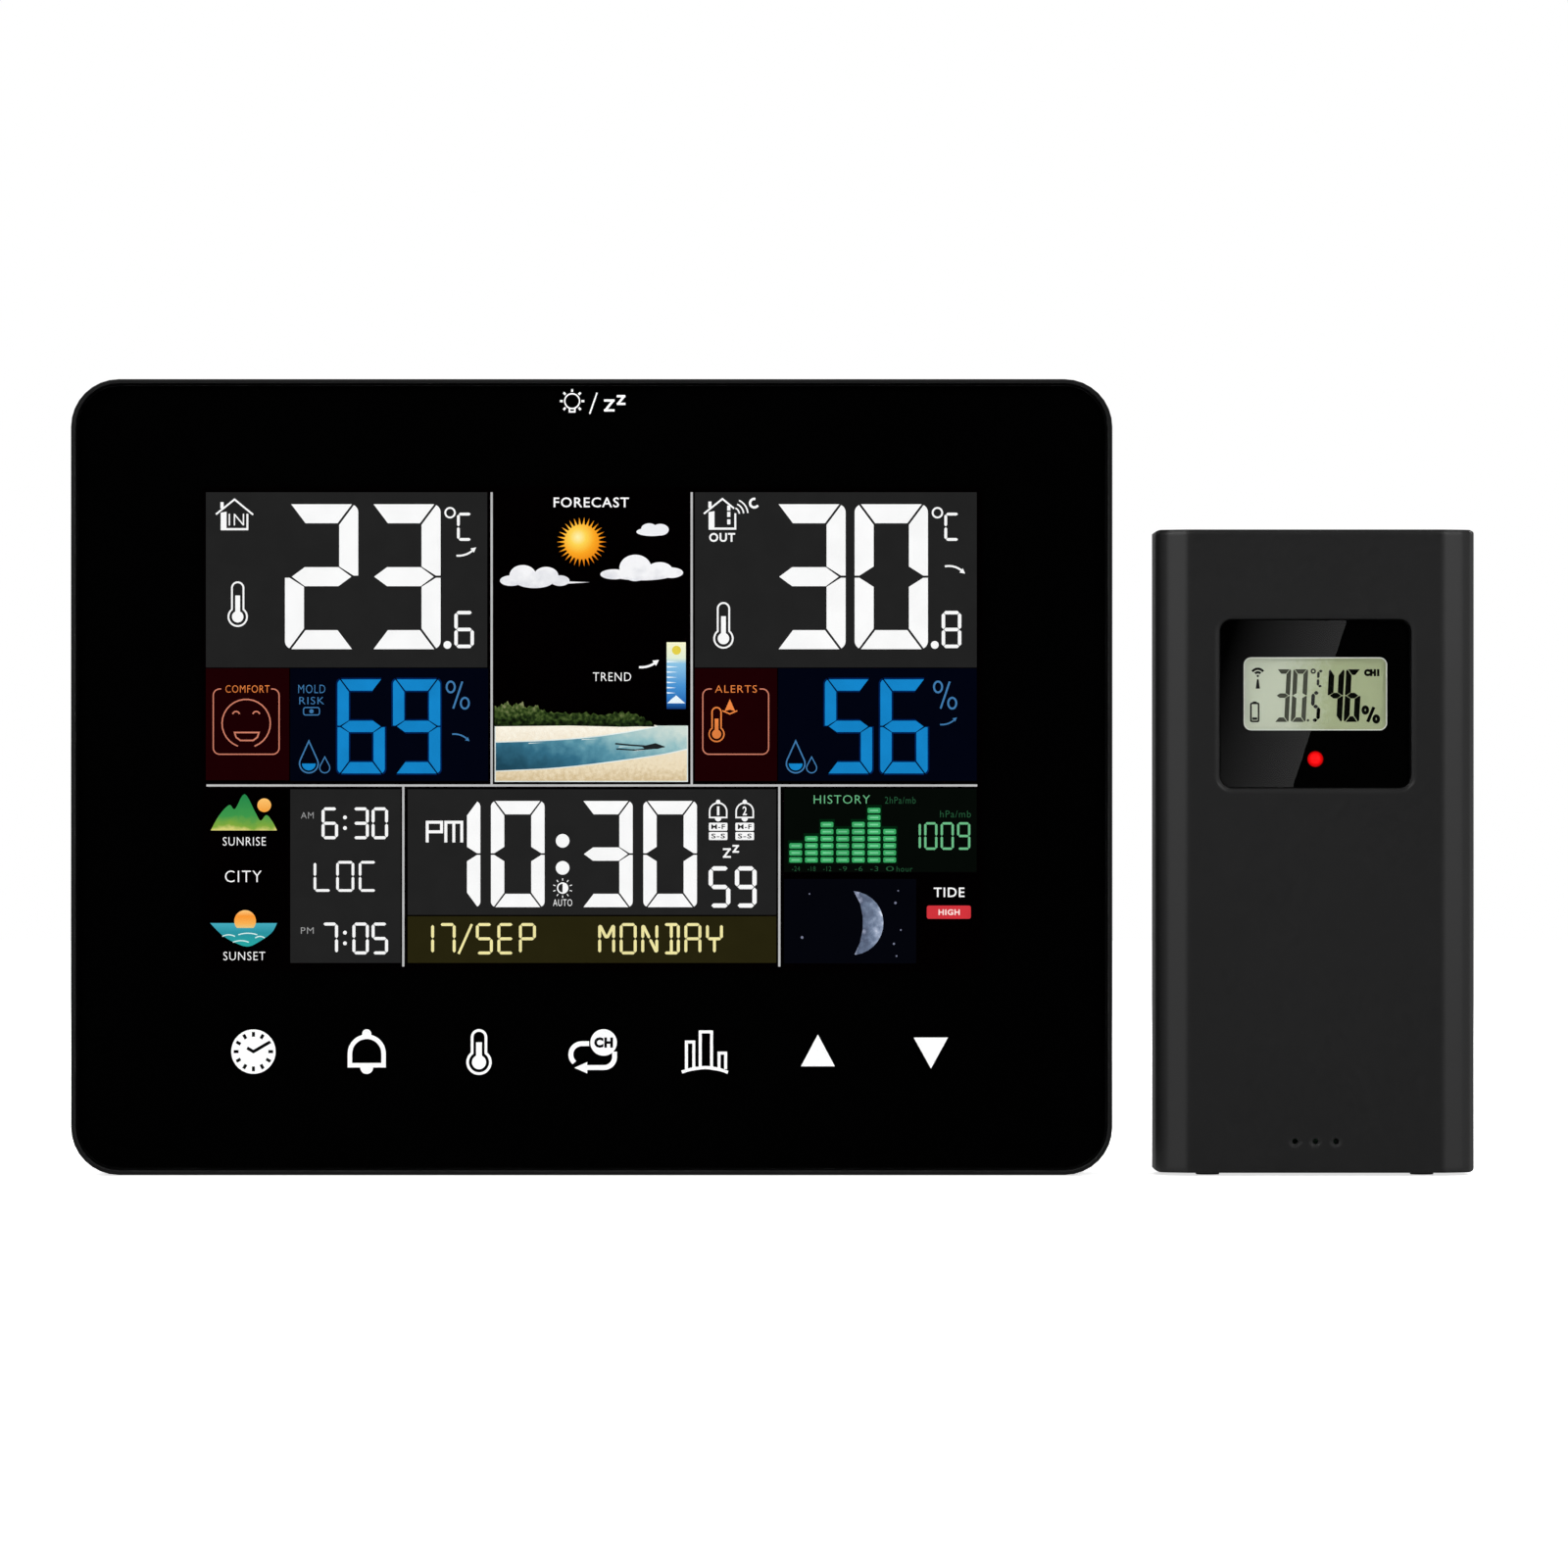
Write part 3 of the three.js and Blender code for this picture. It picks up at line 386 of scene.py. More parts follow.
class Look:
    """A Principled material whose colour, roughness and bump come from nodes."""

    def __init__(self, name, roughness, metallic=0.0):
        self.name, self.material = name, bpy.data.materials.new(name)
        self.material.use_nodes = True
        self.nodes, self.links = self.material.node_tree.nodes, self.material.node_tree.links
        self.shader = self.nodes["Principled BSDF"]
        self.set("Roughness", roughness)
        self.set("Metallic", metallic)
        self.place = self.nodes.new("ShaderNodeTexCoord").outputs["Object"]

    def set(self, socket, value):
        self.shader.inputs[socket].default_value = value

    def drive(self, socket, output):
        self.links.new(output, self.shader.inputs[socket])

    def node(self, kind, **inputs):
        node = self.nodes.new("ShaderNode" + kind)
        for name, value in inputs.items():
            if isinstance(value, bpy.types.NodeSocket):
                self.links.new(value, node.inputs[name])
            else:
                node.inputs[name].default_value = value
        return node

    def moved(self, centre=(0, 0, 0), stretch=(1, 1, 1)):
        """Object coordinates in millimetres from a centre, stretched."""
        scale = [factor / MM for factor in stretch]
        location = [-c * s for c, s in zip(centre, scale)]
        return self.node("Mapping", Vector=self.place, Location=location, Scale=scale).outputs["Vector"]

    def noise(self, scale, detail=2.0, place=None):
        return self.node("TexNoise", Vector=place or self.place, Scale=scale, Detail=detail).outputs["Fac"]

    def along(self, centre, way):
        """How far a point lies along a way, given as right and up, from a centre; in millimetres."""
        node = self.node("VectorMath", Vector=self.moved((centre[0] * MM, 0, centre[1] * MM)))
        node.operation = "DOT_PRODUCT"
        node.inputs[1].default_value = (way[0], 0, way[1])
        return node.outputs["Value"]

    def away(self, centre):
        """How far a point lies from a centre, seen from the front, in millimetres."""
        node = self.node("VectorMath", Vector=self.moved((centre[0] * MM, 0, centre[1] * MM), (1, 0, 1)))
        node.operation = "LENGTH"
        return node.outputs["Value"]

    def mottled(self, value, amount, grain):
        """The value plus a noise of the given grain in millimetres, which averages half the amount."""
        node = self.node("Math", Value=self.noise(1000.0 / grain, 4.0))
        node.operation = "MULTIPLY_ADD"
        node.inputs[1].default_value = amount
        self.links.new(value, node.inputs[2])
        return node.outputs[0]

    def span(self, value, low, high):
        """The value as a share of the way from low to high."""
        node = self.node("MapRange", Value=value)
        node.inputs["From Min"].default_value = low
        node.inputs["From Max"].default_value = high
        return node.outputs["Result"]

    def ramp(self, share, *stops):
        node = self.node("ValToRGB", Fac=share)
        elements = node.color_ramp.elements
        while len(elements) < len(stops):
            elements.new(0.5)
        for element, (place, colour) in zip(elements, stops):
            element.position = place
            element.color = (*colour, 1)
        return node.outputs["Color"]

    def bump(self, height, depth):
        """A bump of the given depth in millimetres."""
        node = self.node("Bump", Height=height, Distance=depth * MM)
        self.drive("Normal", node.outputs["Normal"])
        return node

    def shine(self, colour, strength=1.0):
        """Light given off in a colour that may vary, with nothing reflected."""
        self.set("Base Color", (0.0, 0.0, 0.0, 1))
        self.set("Specular IOR Level", 0.0)
        self.drive("Emission Color", colour)
        self.set("Emission Strength", strength)


# The lens in front takes a little light from the display, which shines this much brighter for it.
LENS_LOSS = 1.085


def glow(name, *rgb, uneven=0.05):
    """A lit display segment, whose backlight is slightly uneven."""
    look = Look(name, 0.6)
    colour = linear(*rgb)
    dim, bright = scaled(colour, 1 - uneven), scaled(colour, 1 + uneven)
    look.shine(look.ramp(look.noise(220.0, 3.0), (0.35, dim), (0.65, bright)), LENS_LOSS)
    return look.material


def shaded(name, centre, way, low, high, *stops, speckle=0.0, grain=3.0):
    """A lit picture whose colour runs along a way between two places, in millimetres."""
    look = Look(name, 0.6)
    place = look.along(centre, way)
    if speckle:
        place = look.mottled(place, speckle, grain)
        low, high = low + speckle / 2, high + speckle / 2
    colours = [(share, linear(*rgb)) for share, rgb in stops]
    look.shine(look.ramp(look.span(place, low, high), *colours), LENS_LOSS)
    return look.material


def radiant(name, centre, reach, *stops):
    """A lit picture whose colour runs outward from a point."""
    look = Look(name, 0.6)
    colours = [(share, linear(*rgb)) for share, rgb in stops]
    look.shine(look.ramp(look.span(look.away(centre), 0, reach), *colours), LENS_LOSS)
    return look.material


def plastic(name, colour, roughness, grain=0.35, depth=0.01, vary=0.15, soft_edge=0.0):
    """Moulded plastic with a fine spark-eroded grain. soft_edge eases its creases, in millimetres."""
    look = Look(name, roughness)
    cloudy = look.noise(35.0, 3.0)
    look.drive("Base Color", look.ramp(
        cloudy, (0.3, scaled(colour, 1 - vary)), (0.7, scaled(colour, 1 + vary))))
    low, high = roughness - 0.02, roughness + 0.02
    look.drive("Roughness", look.ramp(look.noise(900.0), (0.3, [low] * 3), (0.7, [high] * 3)))
    grains = look.bump(look.noise(1000.0 / grain, 4.0), depth)
    if soft_edge:
        bevel = look.node("Bevel", Radius=soft_edge * MM)
        look.links.new(bevel.outputs["Normal"], grains.inputs["Normal"])
    return look


def metal(name, colour, roughness):
    """Drawn or plated metal with fine streaks from left to right."""
    look = Look(name, roughness, 1.0)
    streaks = look.noise(2.0, 3.0, look.moved(stretch=(1, 12, 12)))
    look.drive("Base Color", look.ramp(streaks, (0.3, scaled(colour, 0.85)), (0.7, scaled(colour, 1.1))))
    low, high = roughness * 0.8, roughness * 1.25
    look.drive("Roughness", look.ramp(streaks, (0.3, [low] * 3), (0.7, [high] * 3)))
    look.bump(streaks, 0.004)
    return look


def clear_glass(name):
    """Polished clear acrylic with a faint uneven tint."""
    look = Look(name, 0.0)
    look.set("Transmission Weight", 1.0)
    look.set("IOR", 1.49)
    tint = look.noise(25.0)
    look.drive("Base Color", look.ramp(tint, (0.2, [0.975, 0.98, 0.98]), (0.8, [1.0, 1.0, 1.0])))
    return look


def circuit_board(name):
    """Green solder mask over copper tracks."""
    look = Look(name, 0.4)
    brick = look.node("TexBrick", Vector=look.moved(stretch=(0.35, 0.35, 0.35)), Scale=1.0)
    brick.inputs["Color1"].default_value = (0.012, 0.09, 0.035, 1)
    brick.inputs["Color2"].default_value = (0.02, 0.14, 0.05, 1)
    brick.inputs["Mortar"].default_value = (0.03, 0.2, 0.08, 1)
    brick.inputs["Mortar Size"].default_value = 0.06
    look.drive("Base Color", brick.outputs["Color"])
    look.bump(brick.outputs["Fac"], 0.03)
    return look


def battery_sleeve(name):
    """A printed shrink sleeve: deep blue with lighter bands."""
    look = Look(name, 0.3)
    wave = look.node("TexWave", Vector=look.moved(stretch=(0.05, 0.05, 0.02)), Scale=1.0, Distortion=0.3)
    blue, silver, light_blue = [0.012, 0.05, 0.16], [0.3, 0.33, 0.36], [0.02, 0.08, 0.22]
    bands = look.ramp(wave.outputs["Fac"], (0.55, blue), (0.62, silver), (0.7, light_blue))
    look.drive("Base Color", bands)
    look.set("Coat Weight", 0.4)
    return look


def display_face(name):
    """The dark polariser of a negative display: nearly black, with the faintest warm cast."""
    look = Look(name, 0.35)
    dark, warm = [0.0004, 0.0001, 0.0002], [0.0006, 0.0002, 0.0003]
    look.drive("Base Color", look.ramp(look.noise(60.0), (0.3, dark), (0.7, warm)))
    look.set("Specular IOR Level", 0.0)
    return look


def pale_display_face(name):
    """The grey-green reflector of the sensor's display, with the grain of its film; its paler left side is
    a painted glare reflection.
    """
    look = Look(name, 0.05)
    place = look.mottled(look.along(middle("sensor_display"), RIGHT), 8.0, 0.7)
    # pale is the painted glare reflection on the left; deep is the display's own tone on the right.
    pale, deep = [0.505, 0.55, 0.43], [0.36, 0.41, 0.242]
    look.drive("Base Color", look.ramp(look.span(place, -9.5, 17.5), (0.3, pale), (0.6, deep)))
    return look


def red_lamp(name):
    """A lit red diode in its tinted dome, darker towards the rim."""
    look = Look(name, 0.15)
    haze = look.noise(400.0)
    look.drive("Base Color", look.ramp(haze, (0.3, [0.3, 0.003, 0.003]), (0.7, [0.4, 0.005, 0.005])))
    low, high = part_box("sensor_lamp")
    reach = (high.x - low.x) / 2 / MM
    rim = look.span(look.away(middle("sensor_lamp")), 0.45 * reach, reach)
    look.drive("Emission Color", look.ramp(rim, (0.0, [1.0, 0.004, 0.006]), (1.0, [0.3, 0.0, 0.0])))
    look.set("Emission Strength", 1.0)
    return look


def case_plastic(name):
    """The console's black case, which takes little shine."""
    look = plastic(name, [0.003, 0.003, 0.0032], 0.45, depth=0.004)
    look.set("Specular IOR Level", 0.33)
    return look


def sensor_plastic(name):
    """The sensor's shells, a shade lighter than the case, with softly creased flanks."""
    return plastic(name, [0.0064, 0.0064, 0.0065], 0.4, depth=0.004, vary=0.05, soft_edge=1.5)


def cad_looks():
    """A look for each of the record's material slots, by the slot's name."""
    looks = [
        case_plastic("black_shell"),
        sensor_plastic("sensor_shell"),
        clear_glass("lens_glass"),
        plastic("tape", [0.01, 0.01, 0.01], 0.9, grain=0.6, depth=0.03),
        display_face("display"),
        plastic("light_guide", [0.8, 0.84, 0.88], 0.2, grain=1.2, depth=0.02, vary=0.03),
        plastic("tray", [0.7, 0.7, 0.68], 0.6, vary=0.04),
        circuit_board("board"),
        plastic("ribbon", [0.42, 0.16, 0.03], 0.35, grain=1.5),
        metal("metal_can", [0.6, 0.61, 0.62], 0.32),
        metal("copper", [0.72, 0.34, 0.18], 0.3),
        plastic("component", [0.014, 0.014, 0.014], 0.5, grain=0.5),
        metal("steel", [0.5, 0.52, 0.53], 0.34),
        battery_sleeve("cell"),
        plastic("rubber", [0.013, 0.013, 0.013], 0.85, grain=0.5, depth=0.02),
        pale_display_face("pale_display"),
        red_lamp("lamp"),
        plastic("control", [0.03, 0.03, 0.031], 0.5),
    ]
    return {look.name: look for look in looks}


def finish_cad_nodes():
    looks = cad_looks()
    for part in frame["record"]["subparts"]:
        node = frame["nodes"][part["node"]]
        node.data.materials.clear()
        node.data.materials.append(looks[part["material_slot"]].material)
        node.data.shade_smooth()
        node.data.set_sharp_from_angle(angle=math.radians(28))
    for name in ("front_lens", "sensor_window"):
        frame["nodes"][name].visible_shadow = False


# ---------------------------------------------------------------- console display

class Panel:
    """A flat place for art: each ink has a level, counted towards the viewer."""

    def __init__(self, prefix, centre, face, body, slot):
        self.prefix, self.centre, self.face, self.body, self.slot = prefix, centre, face, body, slot
        self.inks = {}

    def ink(self, name, level, material):
        depth = self.face - LAYER * level
        full_name = f"{self.prefix}_{name}"
        self.inks[name] = Ink(full_name, material, self.centre, depth, self.body, self.slot)
        return self.inks[name]

    def __getitem__(self, name):
        return self.inks[name]

    def build(self):
        for ink in self.inks.values():
            ink.build()


ZONES = {
    "grey": [(-72.7, 11.65, -19.7, 44.66), (19.4, 11.65, 72.5, 44.66), (-56.8, -44.0, -36.0, -11.3),
             (-34.7, -34.95, 34.75, -11.3)],
    "maroon": [(-72.7, -9.6, -57.0, 11.5), (19.4, -9.75, 34.9, 11.5)],
    "navy": [(-56.8, -9.75, -19.5, 11.5), (35.1, -9.75, 72.5, 11.5)],
    "olive": [(-34.7, -44.0, 34.75, -35.2)],
    "green": [(36.2, -26.9, 72.5, -11.2)],
    "night": [(36.2, -44.1, 61.1, -28.2)],
}
ZONE_COLOURS = {
    "grey": (34, 34, 34), "maroon": (27, 1, 3), "navy": (2, 4, 16),
    "olive": (37, 34, 14), "green": (5, 9, 6), "night": (4, 5, 11),
}
RULES = [
    (-19.08, -10.6, -18.66, 44.66), (18.6, -10.6, 19.02, 44.66), (-72.6, -10.79, 72.6, -10.37),
    (-35.72, -44.7, -35.3, -10.79), (35.11, -44.7, 35.53, -10.79),
]


def display_inks(panel):
    def lit(name, level, *rgb, uneven=0.05):
        panel.ink(name, level, glow(f"display_{name}", *rgb, uneven=uneven))

    for zone, colour in ZONE_COLOURS.items():
        panel.ink(f"zone_{zone}", 1, glow(f"display_zone_{zone}", *colour, uneven=0.04))
    lit("rules", 2, 186, 186, 186)
    lit("halo", 2, 2, 34, 84, uneven=0.2)
    lit("halo_green", 2, 2, 34, 14, uneven=0.2)
    lit("white", 3, 250, 250, 250, uneven=0.02)
    lit("dim", 3, 156, 156, 156)
    lit("dark", 4, 34, 34, 34)
    lit("blue", 3, 20, 131, 199)
    lit("pale_blue", 3, 64, 120, 170)
    lit("pink", 3, 208, 128, 104)
    lit("orange", 3, 226, 128, 64, uneven=0.15)
    lit("yellow", 3, 240, 230, 164)
    lit("green", 3, 58, 166, 98, uneven=0.1)
    lit("green_cores", 4, 116, 200, 148, uneven=0.15)
    lit("green_letters", 3, 108, 186, 134)
    lit("green_dim", 3, 36, 84, 54)
    lit("red", 3, 208, 52, 60)
    lit("badge_letters", 4, 252, 226, 220)
    lit("stars", 3, 120, 124, 146)


def picture_inks(panel):
    centre = panel.centre
    panel.ink("sun", 3, radiant("picture_sun", (centre[0] - 2.6, centre[1] + 36.2), 5.0,
                                (0.0, (255, 244, 176)), (0.3, (255, 214, 84)),
                                (0.62, (252, 168, 36)), (1.0, (232, 128, 20))))
    panel.ink("clouds", 3, shaded("picture_clouds", centre, UP, 26, 38, (0.0, (224, 225, 230)),
                                  (0.4, (247, 247, 249)), (1.0, (238, 239, 243)), speckle=14.0, grain=1.8))
    panel.ink("water", 2, shaded("picture_water", centre, (0.3, 1), -12, 5, (0.0, (30, 70, 88)),
                                 (0.3, (52, 108, 132)), (0.5, (88, 146, 164)), (0.75, (150, 192, 196)),
                                 (1.0, (208, 222, 214)), speckle=7.0, grain=2.0))
    panel.ink("sand", 3, shaded("picture_sand", centre, UP, -10, 1, (0.0, (212, 190, 150)),
                                (0.3, (236, 220, 188)), (0.55, (238, 224, 196)), (0.75, (244, 234, 214)),
                                (1.0, (252, 246, 230)), speckle=8.0, grain=0.7))
    panel.ink("trees", 4, shaded("picture_trees", centre, UP, 0, 6, (0.0, (12, 18, 8)), (0.3, (32, 48, 20)),
                                 (0.55, (58, 78, 34)), (0.8, (94, 108, 62)), (1.0, (130, 134, 96)),
                                 speckle=11.0, grain=0.7))
    panel.ink("boat", 4, glow("picture_boat", 30, 34, 36))
    panel.ink("foam", 4, glow("picture_foam", 224, 232, 228, uneven=0.1))
    panel.ink("trend_bar", 3, shaded("picture_trend_bar", centre, UP, 3.8, 16.4, (0.0, (12, 44, 96)),
                                     (0.1, (36, 104, 180)), (0.35, (72, 146, 210)), (0.68, (140, 196, 230)),
                                     (0.76, (226, 238, 214)), (1.0, (248, 246, 206))))
    panel.ink("trend_sun", 4, glow("picture_trend_sun", 224, 204, 70))
    panel.ink("trend_marks", 4, glow("picture_trend_marks", 232, 244, 250))
    panel.ink("moon", 4, shaded("picture_moon", centre, RIGHT, 49.0, 55.5, (0.0, (160, 168, 192)),
                                (0.25, (82, 92, 114)), (0.6, (112, 126, 150)), (0.85, (156, 168, 192)),
                                (1.0, (214, 222, 238)), speckle=8.0, grain=1.3))
    panel.ink("hills", 3, shaded("picture_hills", centre, UP, -19.0, -12.3, (0.0, (214, 208, 120)),
                                 (0.12, (128, 168, 62)), (0.4, (62, 150, 74)), (1.0, (38, 134, 74)),
                                 speckle=3.0, grain=2.5))
    panel.ink("low_sun", 4, shaded("picture_low_sun", centre, UP, -38.0, -34.0, (0.0, (214, 212, 150)),
                                   (0.35, (250, 178, 84)), (0.7, (250, 152, 52)), (1.0, (252, 204, 128))))
    panel.ink("hill_sun", 4, shaded("picture_hill_sun", centre, UP, -15.6, -13.0, (0.0, (244, 160, 60)),
                                    (1.0, (252, 196, 110))))
    panel.ink("sea", 3, shaded("picture_sea", centre, UP, -41.0, -36.5, (0.0, (40, 168, 160)),
                               (0.6, (44, 146, 160)), (1.0, (70, 172, 190))))
    panel.ink("waves", 5, glow("picture_waves", 216, 240, 236))


def draw_zones(panel):
    for zone, places in ZONES.items():
        for place in places:
            panel[f"zone_{zone}"].shape(box(*place))
    for rule in RULES:
        panel["rules"].shape(box(*rule))


BIG = {"width": 13.8, "height": 27.3, "bar": 3.58, "gap": 0.42}
MEDIUM = {"width": 8.9, "height": 17.7, "bar": 2.12, "gap": 0.3}
CLOCK = {"width": 10.1, "height": 20.0, "bar": 2.51, "gap": 0.32}


def draw_temperature(panel, digits, tenth, u, degree_u, arrow_ends, sag):
    """Two large digits, their tenth and the degree sign; u is the left digit's left edge."""
    white = panel["white"]
    for i, digit in enumerate(digits):
        big_digit(white, digit, u + 15.51 * i, 15.1, **BIG)
    white.line(circle(degree_u, 40.8, 0.9), 0.34, closed=True)
    sticks(white, "C", degree_u + 1.3, 35.5, 2.9, 5.3, 0.53)
    arrow(white, *arrow_ends, sag, 0.36)
    white.shape(circle(degree_u - 0.5, 15.9, 0.74))
    sticks(white, tenth, degree_u + 0.8, 15.3, 3.7, 7.0, 0.65)


def draw_indoor(panel):
    white = panel["white"]
    house(white, -67.3, 37.5, 3.5)
    white.letters("IN", -68.4, 38.4, -65.5, 40.6)
    thermometer(white, -66.7, 27.7, 21.2, 1.75, 1.08, 0.33, 25.2)
    draw_temperature(panel, "23", "6", -57.8, -26.7, ((-25.5, 32.7), (-22.0, 34.1)), -0.45)


def draw_outdoor(panel):
    white = panel["white"]
    house(white, 24.6, 37.6, 2.2)
    for low in (38.6, 40.0, 41.2):
        white.shape(box(25.5, low, 26.1, low + 0.95))
    for radius in (1.3, 2.1, 2.9):
        white.line(arc(26.5, 40.5, radius, 5, 65), 0.28)
    white.line(arc(30.6, 42.6, 0.8, 75, 330), 0.46)
    white.letters("OUT", 22.1, 35.3, 27.0, 37.0, 0.03)
    thermometer(white, 24.8, 23.8, 17.1, 1.75, 1.08, 0.33, 21.3)
    draw_temperature(panel, "30", "8", 34.0, 65.1, ((66.5, 30.7), (70.1, 29.5)), 0.5)


def draw_comfort(panel):
    pink = panel["pink"]
    labelled_box(pink, -71.3, -4.7, -58.9, 7.6, 9.4)
    panel["orange"].letters("COMFORT", -69.0, 6.9, -60.7, 8.3)
    pink.line(arc(-65.1, 1.1, 4.55, -70, 250), 0.25)
    for eye in (-67.0, -63.2):
        pink.line(arc(eye, 2.7, 0.66, 15, 165), 0.26)
    mouth = [(-67.3, -0.6), (-67.0, -1.5), (-66.2, -2.1), (-63.8, -2.1), (-63.0, -1.5), (-62.7, -0.6)]
    pink.line(mouth, 0.28, closed=True)


def draw_alerts(panel):
    pink, orange = panel["pink"], panel["orange"]
    labelled_box(pink, 20.9, -4.7, 33.3, 7.6, 9.0)
    orange.letters("ALERTS", 23.2, 6.9, 31.1, 8.3)
    thermometer(orange, 23.5, 4.1, -0.9, 1.4, 0.85, 0.26, 2.0)
    orange.shape([(26.0, 5.7), (27.0, 3.4), (26.0, 3.7), (25.0, 3.4)])
    orange.line([(24.6, 3.5), (26.0, 2.9), (27.4, 3.5)], 0.24)


def draw_humidity(panel, digits, u, dropped, arrow_ends, sag):
    """Drops, two middle-sized digits and a percent sign; u is the left digit's left edge."""
    for i, digit in enumerate(digits):
        left = u + 10.45 * i
        halo = {"width": MEDIUM["width"] + 0.6, "height": MEDIUM["height"] + 0.6, "bar": 2.7, "gap": 0.02}
        big_digit(panel["halo"], digit, left - 0.3, -8.6, **halo)
        big_digit(panel["blue"], digit, left, -8.3, **MEDIUM)
    pale = panel["pale_blue"]
    drop(pale, dropped, -2.2, -8.2, 3.5, 0.26)
    panel["blue"].shape(arc(dropped, -6.45, 1.3, 180, 360))
    drop(pale, dropped + 3.0, -5.2, -8.2, 1.9, 0.2)
    percent(pale, u + 20.5, 3.9, u + 24.8, 9.0, 0.36)
    arrow(pale, *arrow_ends, sag, 0.28)


def draw_mould_risk(panel):
    pale = panel["pale_blue"]
    pale.letters("MOLD", -55.3, 6.8, -50.2, 8.4)
    pale.letters("RISK", -55.1, 4.7, -50.4, 6.1)
    pale.line(rounded(-54.3, 2.7, -51.3, 4.1, 0.4), 0.2, closed=True)
    pale.shape(circle(-52.8, 3.4, 0.4))


SUN = (-1.9, 35.3)


def draw_forecast(panel):
    white = panel["white"]
    white.letters("FORECAST", -7.2, 41.8, 7.0, 43.7, 0.012)
    sun = panel["sun"]
    sun.shape(circle(*SUN, 3.3))
    for i in range(30):
        sun.shape([spoke(*SUN, reach, 12 * i + turn) for reach, turn in ((3.2, -4), (3.2, 4), (4.7, 0))])
    clouds = panel["clouds"]
    cloud(clouds, (-13.0, 29.0, 2.5, 1.95), (-8.6, 28.9, 2.3, 1.7), (-15.2, 28.0, 2.1, 1.0),
          (-10.8, 27.9, 3.6, 1.3), (-6.0, 28.0, 1.8, 1.0))
    clouds.shape([(-5.4, 27.9), (-0.4, 27.7), (-5.2, 27.4)])
    cloud(clouds, (8.2, 30.4, 3.0, 2.5), (12.8, 30.0, 2.4, 1.5), (4.2, 29.2, 2.6, 0.95),
          (9.4, 29.2, 6.0, 1.15), (14.9, 29.5, 2.3, 1.0))
    cloud(clouds, (10.8, 37.8, 1.5, 1.0), (12.9, 37.6, 1.6, 1.1), (11.3, 37.2, 2.9, 0.8))
    white.letters("TREND", 0.2, 9.1, 7.4, 10.7)
    arrow(white, (8.9, 11.7), (12.4, 12.9), -0.4, 0.42)


def draw_trend_bar(panel):
    panel["trend_bar"].shape(box(14.1, 3.8, 17.7, 16.4))
    panel["trend_sun"].shape(circle(15.95, 14.9, 0.85))
    marks = panel["trend_marks"]
    for i in range(7):
        low = 12.6 - 0.98 * i
        marks.shape([(14.15, low), (16.4 - 0.1 * i, low + 0.12), (14.15, low + 0.3)])
    marks.shape([(14.2, 4.9), (17.6, 4.9), (16.9, 5.5), (15.9, 6.4), (14.9, 5.6)])


def draw_beach(panel):
    panel["water"].shape(box(-18.3, -9.9, 18.1, 0.7))
    far_shore = smooth([(-18.3, -2.4), (-9.0, -2.1), (-0.7, -1.5), (6.0, -0.6), (11.0, 0.3), (12.4, 0.6)])
    panel["sand"].shape(far_shore + [(12.0, 0.8), (-18.3, 0.8)])
    panel["foam"].line(far_shore, 0.22)
    near_shore = smooth([(-18.3, -7.9), (-8.0, -7.4), (0.0, -6.6), (9.0, -5.4), (14.0, -4.6), (18.1, -3.7)])
    panel["sand"].shape(near_shore + [(18.1, -9.9), (-18.3, -9.9)])
    panel["foam"].line(near_shore, 0.2)
    panel["foam"].line([(-18.2, 0.6), (-18.2, -9.8), (18.0, -9.8), (18.0, 0.6)], 0.2)
    ridge = smooth([
        (-18.3, 4.2), (-17.0, 4.5), (-16.1, 5.2), (-15.2, 4.5), (-13.2, 5.0), (-12.4, 4.2), (-10.4, 4.4),
        (-9.0, 3.5), (-5.0, 3.0), (-1.5, 3.1), (2.0, 2.7), (5.0, 3.2), (8.0, 2.9), (10.0, 2.0), (12.0, 0.7),
    ], 8)
    leafy = [(u, v + 0.2 * math.sin(4.7 * u) + 0.15 * math.sin(11.0 * u)) for u, v in ridge]
    panel["trees"].shape(leafy + [(6.0, 0.45), (-4.0, 0.7), (-18.3, 0.55)])
    boat = panel["boat"]
    boat.line([(4.4, -2.7), (7.5, -3.0), (10.6, -3.2), (13.6, -3.3)], 0.3)
    boat.line([(4.6, -3.7), (8.2, -3.9), (11.5, -3.6)], 0.26)
    boat.shape([(9.4, -3.2), (12.0, -2.6), (13.9, -3.3), (12.4, -3.7), (10.0, -3.7)])
    for left, low, length in ((5.0, -3.4, 2.6), (8.0, -4.1, 2.2), (-12.0, -2.7, 3.0), (-2.0, -2.0, 3.4)):
        panel["foam"].shape([(left, low), (left + length, low + 0.2), (left + 0.2, low + 0.16)])


def draw_sunrise(panel):
    panel["hills"].shape(smooth([
        (-71.8, -19.05), (-70.2, -16.2), (-68.3, -14.25), (-67.2, -15.0), (-65.4, -12.2), (-63.4, -15.6),
        (-62.4, -17.2), (-61.3, -16.15), (-60.2, -17.3), (-59.3, -19.05),
    ]))
    panel["hill_sun"].shape(circle(-61.7, -14.3, 1.3))
    white = panel["white"]
    white.letters("SUNRISE", -69.5, -21.9, -61.4, -20.3)
    white.letters("CITY", -69.1, -28.8, -62.2, -26.6)
    white.letters("SUNSET", -69.4, -43.5, -61.5, -41.9)
    panel["low_sun"].shape(arc(-65.3, -36.1, 2.05, -40, 220))
    panel["sea"].shape(smooth([
        (-59.3, -36.5), (-60.2, -38.2), (-62.0, -39.6), (-64.6, -40.9), (-67.0, -40.3), (-69.6, -38.8),
        (-71.9, -36.5),
    ]))
    for left, low, right in ((-69.6, -39.0, -67.2), (-66.6, -38.7, -63.0), (-67.6, -40.1, -64.6),
                             (-63.4, -39.3, -61.6)):
        panel["waves"].line(bend((left, low), (right, low), 0.3), 0.2)


